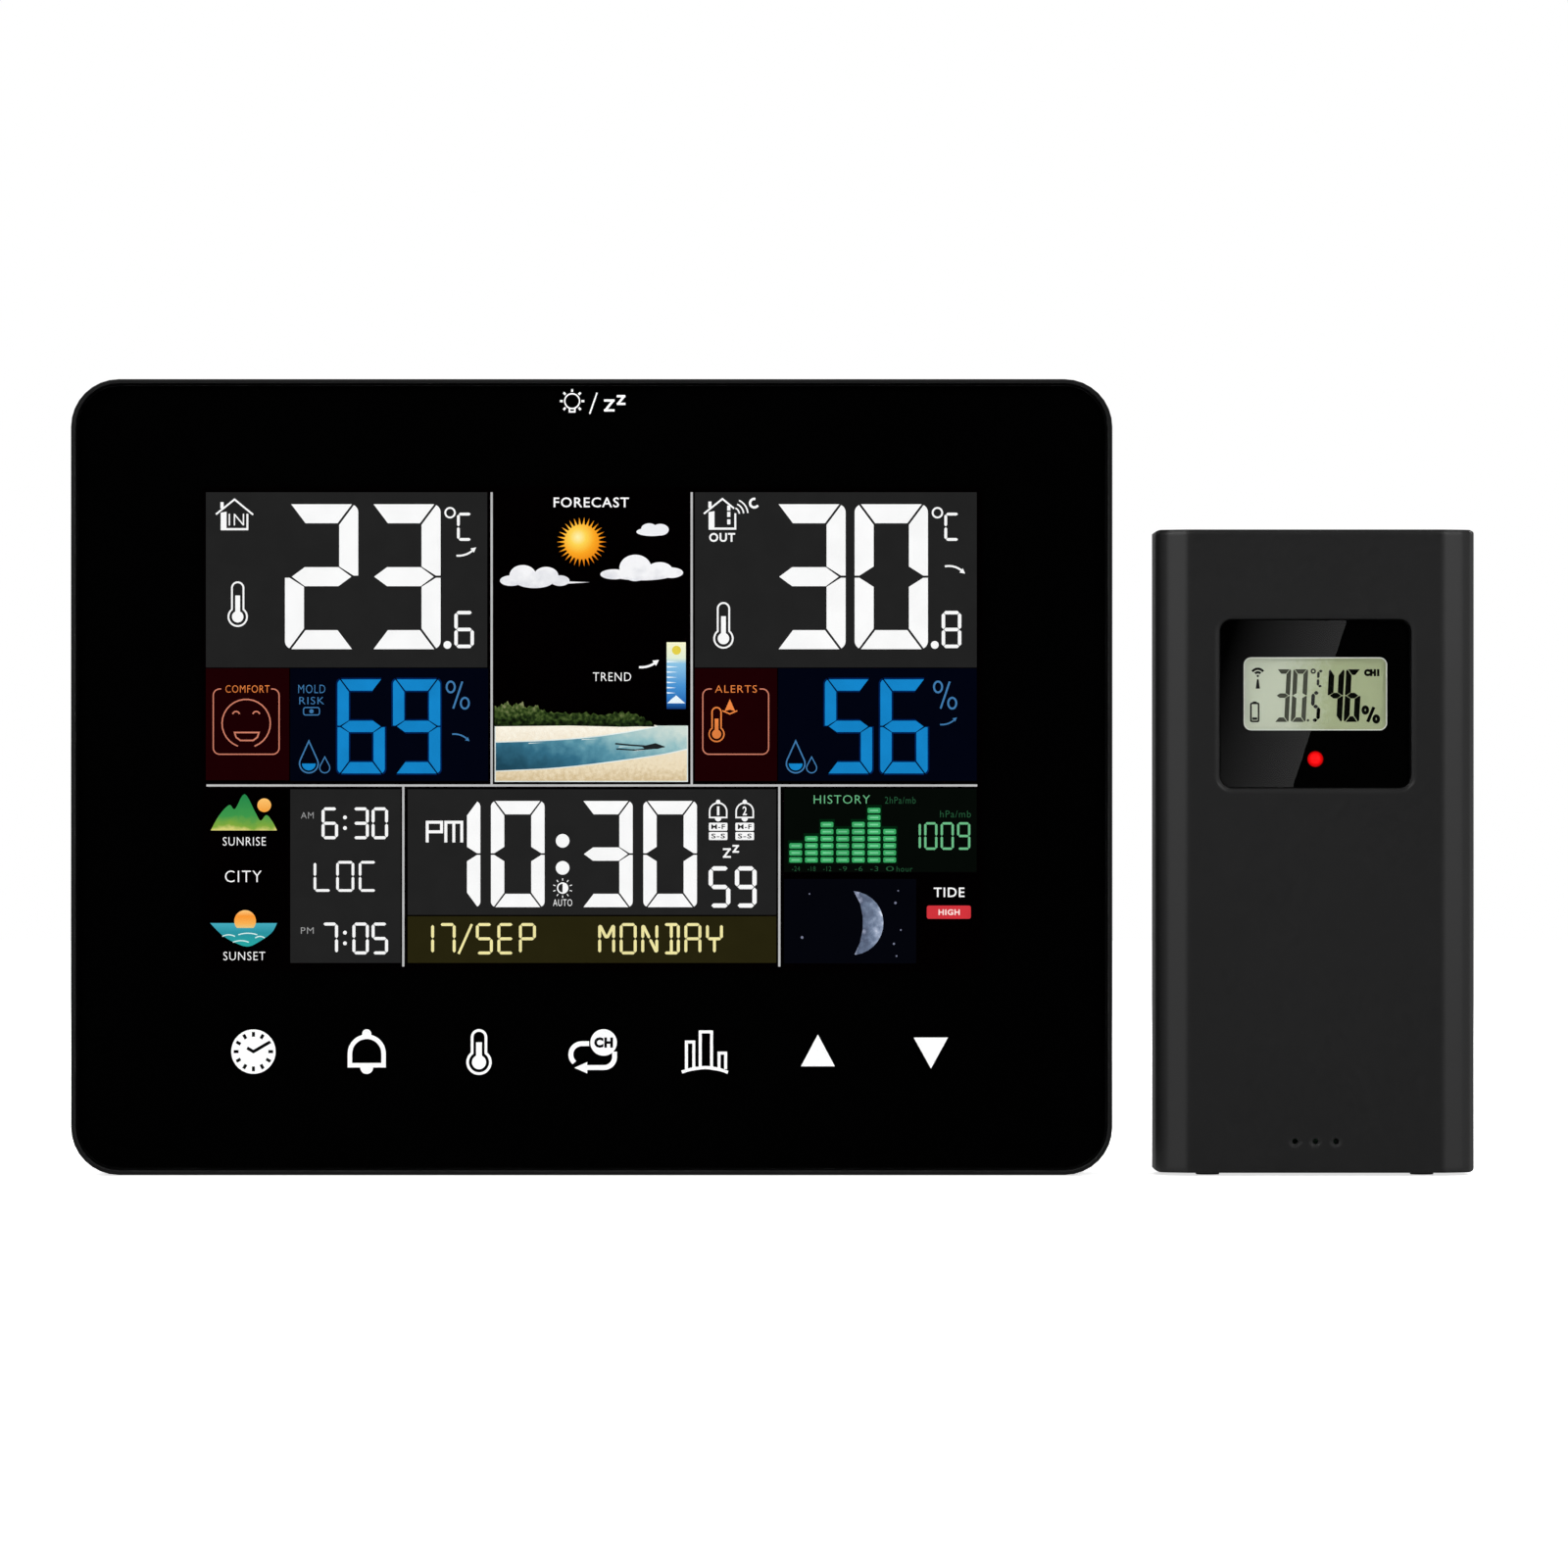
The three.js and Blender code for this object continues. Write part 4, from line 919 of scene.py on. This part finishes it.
def draw_day_times(panel):
    white, dim = panel["white"], panel["dim"]
    size = {"width": 3.1, "height": 6.0, "bar": 0.57}
    for noon, hour, minutes, low in (("AM", "6", "30", -20.7), ("PM", "7", "05", -42.4)):
        dim.letters(noon, -54.8, low + 3.9, -52.4, low + 5.1)
        sticks(white, hour, -50.9, low, **size)
        sticks(white, minutes, -45.1, low, **size, pitch=3.62)
        for rise in (2.1, 4.1):
            white.shape(circle(-46.5, low + rise, 0.36))
    sticks(white, "LOC", -52.4, -30.6, 3.4, 5.8, 0.5, pitch=4.25)


def draw_clock(panel):
    white = panel["white"]
    white.line([(-31.0, -21.3), (-31.0, -17.5), (-28.3, -17.5), (-28.3, -19.3), (-31.0, -19.3)], 0.55)
    white.line([(-27.5, -21.3), (-27.5, -17.5), (-24.5, -17.5), (-24.5, -21.3)], 0.55)
    white.shape(box(-26.27, -21.3, -25.73, -17.5))
    for digit, left in (("1", -31.1), ("0", -19.0), ("3", -2.4), ("0", 9.7)):
        big_digit(white, digit, left, -33.5, **CLOCK)
    for low in (-21.0, -26.1):
        white.shape(circle(-5.5, low, 1.29))
    white.line(circle(-5.5, -29.9, 0.95), 0.26, closed=True)
    white.shape(arc(-5.5, -29.9, 0.9, -90, 90))
    for i in range(10):
        white.line([spoke(-5.5, -29.9, reach, 36 * i + 18) for reach in (1.4, 1.85)], 0.16)
    white.letters("AUTO", -7.3, -33.3, -3.7, -32.0)
    for number, u, half in (("1", 23.8, 0.22), ("2", 28.8, 0.4)):
        bell(white, u, -15.3, 1.75, 0.28)
        white.letters(number, u - half, -16.2, u + half, -14.5, 0.02)
        for days, low in (("M-F", -19.1), ("S-S", -20.85)):
            white.shape(rounded(u - 1.75, low, u + 1.75, low + 1.5, 0.2))
            panel["dark"].letters(days, u - 1.3, low + 0.3, u + 1.3, low + 1.2, 0.02)
    sleepy(white, 24.7, -24.2, 1.5, 1.8, 0.34)
    sticks(white, "59", 22.0, -33.6, 4.1, 7.8, 0.81, pitch=4.95)
    yellow = panel["yellow"]
    date_size = {"width": 3.19, "height": 5.9, "bar": 0.55, "pitch": 4.06}
    sticks(yellow, "17", -32.9, -42.4, **date_size)
    yellow.line([(-25.1, -42.3), (-22.6, -36.7)], 0.45)
    sticks(yellow, "SEP", -21.84, -42.4, **date_size)
    sticks(yellow, "MONDAY", 1.2, -42.4, **date_size)


BAR_PITCH = 1.33
BAR_COUNTS = (3, 4, 6, 5, 6, 8, 5)
HOURS = ("-24", "-18", "-12", "-9", "-6", "-3", "0")


def draw_history(panel):
    green, dim = panel["green"], panel["green_dim"]
    for i, (count, hour) in enumerate(zip(BAR_COUNTS, HOURS)):
        left = 37.2 + 2.95 * i
        panel["halo_green"].shape(box(left - 0.25, -25.3, left + 2.65, -24.9 + BAR_PITCH * count))
        for level in range(count):
            low = -25.1 + BAR_PITCH * level
            green.shape(rounded(left, low, left + 2.4, low + 1.0, 0.25))
            panel["green_cores"].shape(box(left + 0.4, low + 0.35, left + 2.0, low + 0.65))
        dim.letters(hour, left + 0.5, -26.7, left + 2.0, -25.8)
    pale = panel["green_letters"]
    pale.letters("HISTORY", 41.8, -14.0, 52.4, -12.4)
    dim.letters("2hPa/mb", 55.2, -14.0, 61.0, -12.7)
    dim.letters("hPa/mb", 65.6, -16.6, 71.4, -15.3)
    dim.letters("hour", 57.4, -26.8, 60.4, -25.8)
    sticks(pale, "1", 59.6, -22.7, 2.4, 5.2, 0.44)
    sticks(pale, "009", 62.6, -22.7, 2.5, 5.2, 0.44, pitch=3.1)


def draw_night(panel):
    """The moon, its stars and the tide."""
    outer = arc(48.9, -36.5, 6.03, -82, 86)
    inner = arc(39.2, -36.45, 11.9, 30, -30)
    panel["moon"].shape(outer + inner)
    for star in ((57.2, -32.7, 0.24), (41.0, -31.0, 0.14), (39.6, -39.2, 0.26), (56.9, -40.4, 0.2),
                 (58.2, -37.8, 0.16), (57.4, -42.7, 0.16), (57.7, -30.4, 0.14)):
        panel["stars"].shape(circle(*star))
    panel["white"].letters("TIDE", 64.4, -31.6, 70.2, -29.8, 0.01)
    panel["red"].shape(rounded(63.1, -35.7, 71.4, -33.2, 0.4))
    panel["badge_letters"].letters("HIGH", 65.3, -35.0, 69.3, -33.9, 0.03)


def console_display():
    panel = Panel("display", DISPLAY_MIDDLE, front_of("display_glass"), "console", "display")
    display_inks(panel)
    picture_inks(panel)
    draw_zones(panel)
    draw_indoor(panel)
    draw_outdoor(panel)
    draw_comfort(panel)
    draw_alerts(panel)
    draw_humidity(panel, "69", -47.9, -53.3, ((-26.3, -0.9), (-23.2, -2.1)), 0.4)
    draw_humidity(panel, "56", 43.9, 38.4, ((65.6, 0.9), (68.6, 2.1)), -0.4)
    draw_mould_risk(panel)
    draw_forecast(panel)
    draw_trend_bar(panel)
    draw_beach(panel)
    draw_sunrise(panel)
    draw_day_times(panel)
    draw_clock(panel)
    draw_history(panel)
    draw_night(panel)
    panel.build()


# ---------------------------------------------------------------- printing behind the console's lens

def painted(name, colour, light=0.0):
    """Screen-printed ink, with the slight mottle of the mesh it was pressed through."""
    look = Look(name, 0.7)
    tones = look.ramp(look.noise(1800.0), (0.3, scaled(colour, 0.94)), (0.7, scaled(colour, 1.04)))
    look.drive("Base Color", tones)
    look.set("Specular IOR Level", 0.0)
    if light:
        look.drive("Emission Color", tones)
        look.set("Emission Strength", light)
    return look.material


def lens_mask():
    """The black border print: the whole lens but for the display's opening."""
    low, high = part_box("front_lens")
    black = painted("mask_ink", [0.0005, 0.0005, 0.0005])
    mask = Ink("lens_mask", black, (0, 0), back_of("front_lens") + 0.02, "console", "black_shell")
    inset, corner = 0.4, 7.7
    left, right, bottom, top = (side / MM for side in (low.x, high.x, low.z, high.z))
    outer = rounded(left + inset, bottom + inset, right - inset, top - inset, corner)
    u, v = DISPLAY_MIDDLE
    half_width, half_height = 73.6, 45.6
    opening = rounded(u - half_width, v - half_height, u + half_width, v + half_height, 0.6)
    mask.band(outer, opening)
    mask.build()


def touch_clock(ink, dark, u):
    ink.shape(circle(u, 0, 4.19))
    for i in range(12):
        dark.line([spoke(u, 0, reach, 90 - 30 * i) for reach in (2.8, 3.7)], 0.58)
    dark.line([(u - 1.2, 0.7), (u, 0.0), (u + 3.0, 1.75)], 0.6)


def touch_channel(ink, dark, u):
    ink.shape(circle(u + 2.23, 1.72, 2.51))
    dark.letters("CH", u + 0.45, 0.72, u + 4.0, 2.7, 0.06)
    ink.line([(u - 0.5, 1.5)] + arc(u - 1.9, -0.55, 2.05, 90, 228), 0.92)
    ink.line([(u + 4.3, 0.0)] + arc(u + 2.3, -1.0, 2.0, -5, -90) + [(u - 0.85, -3.0)], 0.92)
    ink.shape([(u - 3.3, -3.05), (u - 0.85, -4.1), (u - 0.85, -1.95)])


def touch_chart(ink, u):
    stroke = 0.56
    half, foot = stroke / 2, -3.3
    for left, right, top in ((-3.7, -1.75, 2.1), (-1.1, 1.6, 4.0), (2.45, 4.25, 0.0)):
        u0, u1, roof = u + left + half, u + right - half, top - half
        ink.line([(u0, foot), (u0, roof), (u1, roof), (u1, foot)], stroke)
    ground = ((-4.3, -3.85), (-2.6, -3.35), (0.15, -3.0), (2.7, -3.35), (4.4, -3.9))
    ink.line(smooth([(u + x, y) for x, y in ground]), 0.6)


def touch_marks():
    """Seven touch marks, evenly spaced, and the lamp-and-snooze mark at the top."""
    depth = back_of("front_lens") + 0.003
    white = painted("mark_ink", [0.86, 0.86, 0.86], light=0.26)
    row = Ink("touch_marks", white, middle("touch_board"), depth, "console", "lens_glass")
    black = painted("mark_detail_ink", [0.002, 0.002, 0.002])
    dark = Ink("touch_mark_details", black, middle("touch_board"), depth - 0.018, "console", "black_shell")
    pitch = 21.24
    touch_clock(row, dark, -3 * pitch)
    bell(row, -2 * pitch + 0.1, 0, 3.6, 0.85)
    thermometer(row, -pitch, 4.0, -2.0, 2.15, 1.3, 0.5, 1.76)
    touch_channel(row, dark, 0)
    touch_chart(row, pitch)
    row.shape([(2 * pitch + 0.1, 3.23), (2 * pitch - 3.1, -2.77), (2 * pitch + 3.3, -2.77)])
    row.shape([(3 * pitch + 0.15, -3.2), (3 * pitch - 3.1, 2.66), (3 * pitch + 3.35, 2.66)])
    row.build()
    dark.build()
    top = Ink("snooze_mark", white, middle("snooze_touch_board"), depth, "console", "lens_glass")
    top.line(circle(-3.7, 2.2, 1.4), 0.27, closed=True)
    for angle in range(-45, 226, 45):
        top.line([spoke(-3.7, 2.2, reach, angle) for reach in (1.75, 2.3)], 0.42)
    top.line([(-4.2, 0.95), (-4.2, 0.2), (-3.2, 0.2), (-3.2, 0.95)], 0.3)
    top.line([(1.0, 3.8), (-0.4, -0.2)], 0.3)
    sleepy(top, 2.3, 0.25, 2.0, 2.3, 0.44)
    top.build()


# ---------------------------------------------------------------- sensor window and display

def window_mask():
    """Black print behind the sensor's window, open over its display and its lamp, with a pale rim."""
    low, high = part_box("sensor_window")
    depth = back_of("sensor_window") + 0.02
    black = painted("window_ink", [0.0006, 0.0006, 0.0006])
    mask = Ink("window_mask", black, (0, 0), depth, "sensor", "sensor_shell")
    left, right, bottom, top = low.x / MM + 0.1, high.x / MM - 0.1, low.z / MM + 0.1, high.z / MM - 0.1
    u, v = middle("sensor_display")
    lamp_u, lamp_v = middle("sensor_lamp")
    split = lamp_v + 3.2
    opening = (u - 13.3, v - 7.05, u + 13.3, v + 6.3)
    mask.band(rounded(left, split, right, top, 0.05, 0.05, 2.2, 2.2), rounded(*opening, 1.2))
    lamp = 1.5
    mask.band(rounded(left, bottom, right, split, 2.2, 2.2, 0.05, 0.05),
              rounded(lamp_u - lamp, lamp_v - lamp, lamp_u + lamp, lamp_v + lamp, lamp))
    mask.build()
    pale = painted("window_rim_ink", [0.6, 0.62, 0.56])
    rim = Ink("window_rim", pale, (0, 0), depth - 0.017, "sensor", "sensor_shell")
    u0, v0, u1, v1 = opening
    rim.band(rounded(u0 - 0.2, v0 - 0.2, u1 + 0.2, v1 + 0.2, 1.4), rounded(*opening, 1.2))
    rim.build()


def sensor_readings():
    panel = Panel("sensor", middle("sensor_display"), front_of("sensor_display"), "sensor", "pale_display")
    dark = panel.ink("dark_segments", 1, painted("segment_ink", [0.003, 0.0033, 0.0025]))
    grey = panel.ink("grey_segments", 1, painted("segment_ink_grey", [0.042, 0.046, 0.03]))
    low, lean = -5.66, 0.05
    size = {"height": 9.92, "gap": 0.14, "slant": lean}
    for digit, left in (("3", -7.8), ("0", -4.6)):
        big_digit(grey, digit, left, low, width=2.8, bar=0.85, **size)
    grey.shape(circle(-1.35, low + 0.3, 0.25))
    for digit, left in (("4", 2.1), ("6", 5.35)):
        big_digit(dark, digit, left, low, width=2.95, bar=1.08, **size)
    sticks(dark, "5", -0.95, low, 1.8, 5.8, 0.68, slant=lean)
    dark.line(circle(-0.35, 3.9, 0.36), 0.28, closed=True)
    sticks(dark, "C", 0.25, 0.85, 1.3, 3.3, 0.48, slant=lean)
    percent(dark, 9.0, low, 11.95, low + 2.8, 0.62)
    dark.letters("CH1", 9.2, 2.95, 12.1, 4.3, 0.11)
    for radius in (0.6, 1.25):
        dark.line(arc(-10.8, 3.1, radius, 35, 145), 0.46)
    dark.shape(circle(-10.8, 3.0, 0.22))
    dark.shape([(-11.2, 0.6), (-10.4, 0.6), (-10.65, 2.4), (-10.95, 2.4)])
    dark.line(rounded(-12.1, low + 0.1, -10.65, low + 3.5, 0.2), 0.32, closed=True)
    dark.shape(box(-11.75, low + 3.5, -11.0, low + 3.85))
    dark.shape(box(-11.85, low + 0.4, -10.9, low + 0.85))
    panel.build()


# ---------------------------------------------------------------- stage

def emission_card(name, corners, shade):
    """A light panel that only reflections see."""
    mesh = bpy.data.meshes.new(name)
    mesh.from_pydata([Vector(corner) * MM for corner in corners], [], [list(range(len(corners)))])
    card = bpy.data.objects.new(name, mesh)
    bpy.context.scene.collection.objects.link(card)
    mesh.materials.append(shade)
    card.visible_camera = False
    card.visible_diffuse = False
    card.visible_shadow = False
    card.visible_transmission = False


def glare_shade(edge, slope):
    """Light that grows towards a slanting edge."""
    look = Look("glare_shade", 1.0)
    light = look.span(look.along((0, 0), (1, -slope)), edge - 26, edge)
    look.shine(look.ramp(light, (0.0, [0.0] * 3), (1.0, [0.62] * 3)), 1.0)
    return look.material


def window_glare():
    """A slim softbox in front of the sensor, cut on a slant, whose edge crosses its window."""
    slope, low, high, near = 0.325, 60.0, 125.0, -505.0
    foot = 155.8 - slope * 72.5
    corners = [(122, near, low), (foot + slope * low, near, low),
               (foot + slope * high, near, high), (122, near, high)]
    emission_card("window_glare", corners, glare_shade(foot, slope))


def floor():
    half = 3.0
    mesh = bpy.data.meshes.new("floor")
    corners = [(-half, -half, 0), (half, -half, 0), (half, half, 0), (-half, half, 0)]
    mesh.from_pydata(corners, [], [[0, 1, 2, 3]])
    ground = bpy.data.objects.new("floor", mesh)
    ground.location.z = -0.0002
    bpy.context.scene.collection.objects.link(ground)
    look = Look("floor", 0.9)
    look.drive("Base Color", look.ramp(look.noise(3.0), (0.3, [0.8, 0.8, 0.8]), (0.7, [0.84, 0.84, 0.84])))
    look.set("Specular IOR Level", 0.0)
    look.set("Emission Color", (1, 1, 1, 1))
    look.set("Emission Strength", 0.7)
    mesh.materials.append(look.material)
    ground.visible_glossy = False
    ground.visible_transmission = False


def soft_light(name, place, target, size, power):
    light = bpy.data.lights.new(name, "AREA")
    light.shape, light.size, light.size_y, light.energy = "RECTANGLE", size[0], size[1], power
    lamp = bpy.data.objects.new(name, light)
    lamp.location = place
    lamp.rotation_mode = "QUATERNION"
    lamp.rotation_quaternion = (Vector(place) - Vector(target)).to_track_quat("Z", "Y")
    lamp.visible_camera = False
    bpy.context.scene.collection.objects.link(lamp)


def studio():
    """White for the eye, an even fill for matt surfaces, and black in front for mirror-like ones."""
    world = bpy.data.worlds.new("studio")
    bpy.context.scene.world = world
    world.use_nodes = True
    nodes, links = world.node_tree.nodes, world.node_tree.links
    nodes.clear()
    path = nodes.new("ShaderNodeLightPath")
    way = nodes.new("ShaderNodeTexCoord")
    split = nodes.new("ShaderNodeSeparateXYZ")
    links.new(way.outputs["Generated"], split.inputs[0])
    mirrored = nodes.new("ShaderNodeMapRange")
    links.new(split.outputs["Y"], mirrored.inputs["Value"])
    mirrored.inputs["From Min"].default_value = -0.93
    mirrored.inputs["From Max"].default_value = -0.6
    mirrored.inputs["To Max"].default_value = 0.3
    fill = nodes.new("ShaderNodeValue").outputs[0]
    fill.default_value = 0.5
    eye = nodes.new("ShaderNodeValue").outputs[0]
    eye.default_value = 1.0
    strength = fill
    kinds = (("Is Glossy Ray", mirrored.outputs[0]), ("Is Transmission Ray", mirrored.outputs[0]),
             ("Is Camera Ray", eye))
    for ray, seen in kinds:
        mix = nodes.new("ShaderNodeMix")
        links.new(path.outputs[ray], mix.inputs[0])
        links.new(strength, mix.inputs[2])
        links.new(seen, mix.inputs[3])
        strength = mix.outputs[0]
    background = nodes.new("ShaderNodeBackground")
    background.inputs["Color"].default_value = (1, 1, 1, 1)
    links.new(strength, background.inputs["Strength"])
    out = nodes.new("ShaderNodeOutputWorld")
    links.new(background.outputs[0], out.inputs["Surface"])


def lights():
    soft_light("key_left", (-0.9, -0.9, 0.9), (0.03, 0, 0.07), (0.7, 0.7), 11)
    soft_light("key_right", (1.0, -0.8, 0.8), (0.1, 0, 0.07), (0.6, 0.7), 9)
    soft_light("flank_left", (-0.95, -0.78, 0.35), (0.12, 0, 0.09), (0.25, 0.5), 0.9)
    soft_light("flank_right", (1.2, -0.78, 0.35), (0.14, 0, 0.09), (0.25, 0.5), 0.9)
    soft_light("back", (0.2, 1.1, 0.8), (0.03, 0, 0.07), (1.2, 0.8), 14)


def camera():
    data = bpy.data.cameras.new("camera")
    data.sensor_width = 36
    data.lens = 243.97
    data.clip_start, data.clip_end = 0.05, 50
    eye = bpy.data.objects.new("camera", data)
    eye.location = (0.0362, -2.005, 0.0736)
    eye.rotation_euler = (math.radians(90), 0, 0)
    bpy.context.scene.collection.objects.link(eye)
    bpy.context.scene.camera = eye


camera()
finish_cad_nodes()
console_display()
lens_mask()
touch_marks()
window_mask()
sensor_readings()
floor()
window_glare()
studio()
lights()
bpy.context.scene.view_settings.view_transform = "Standard"
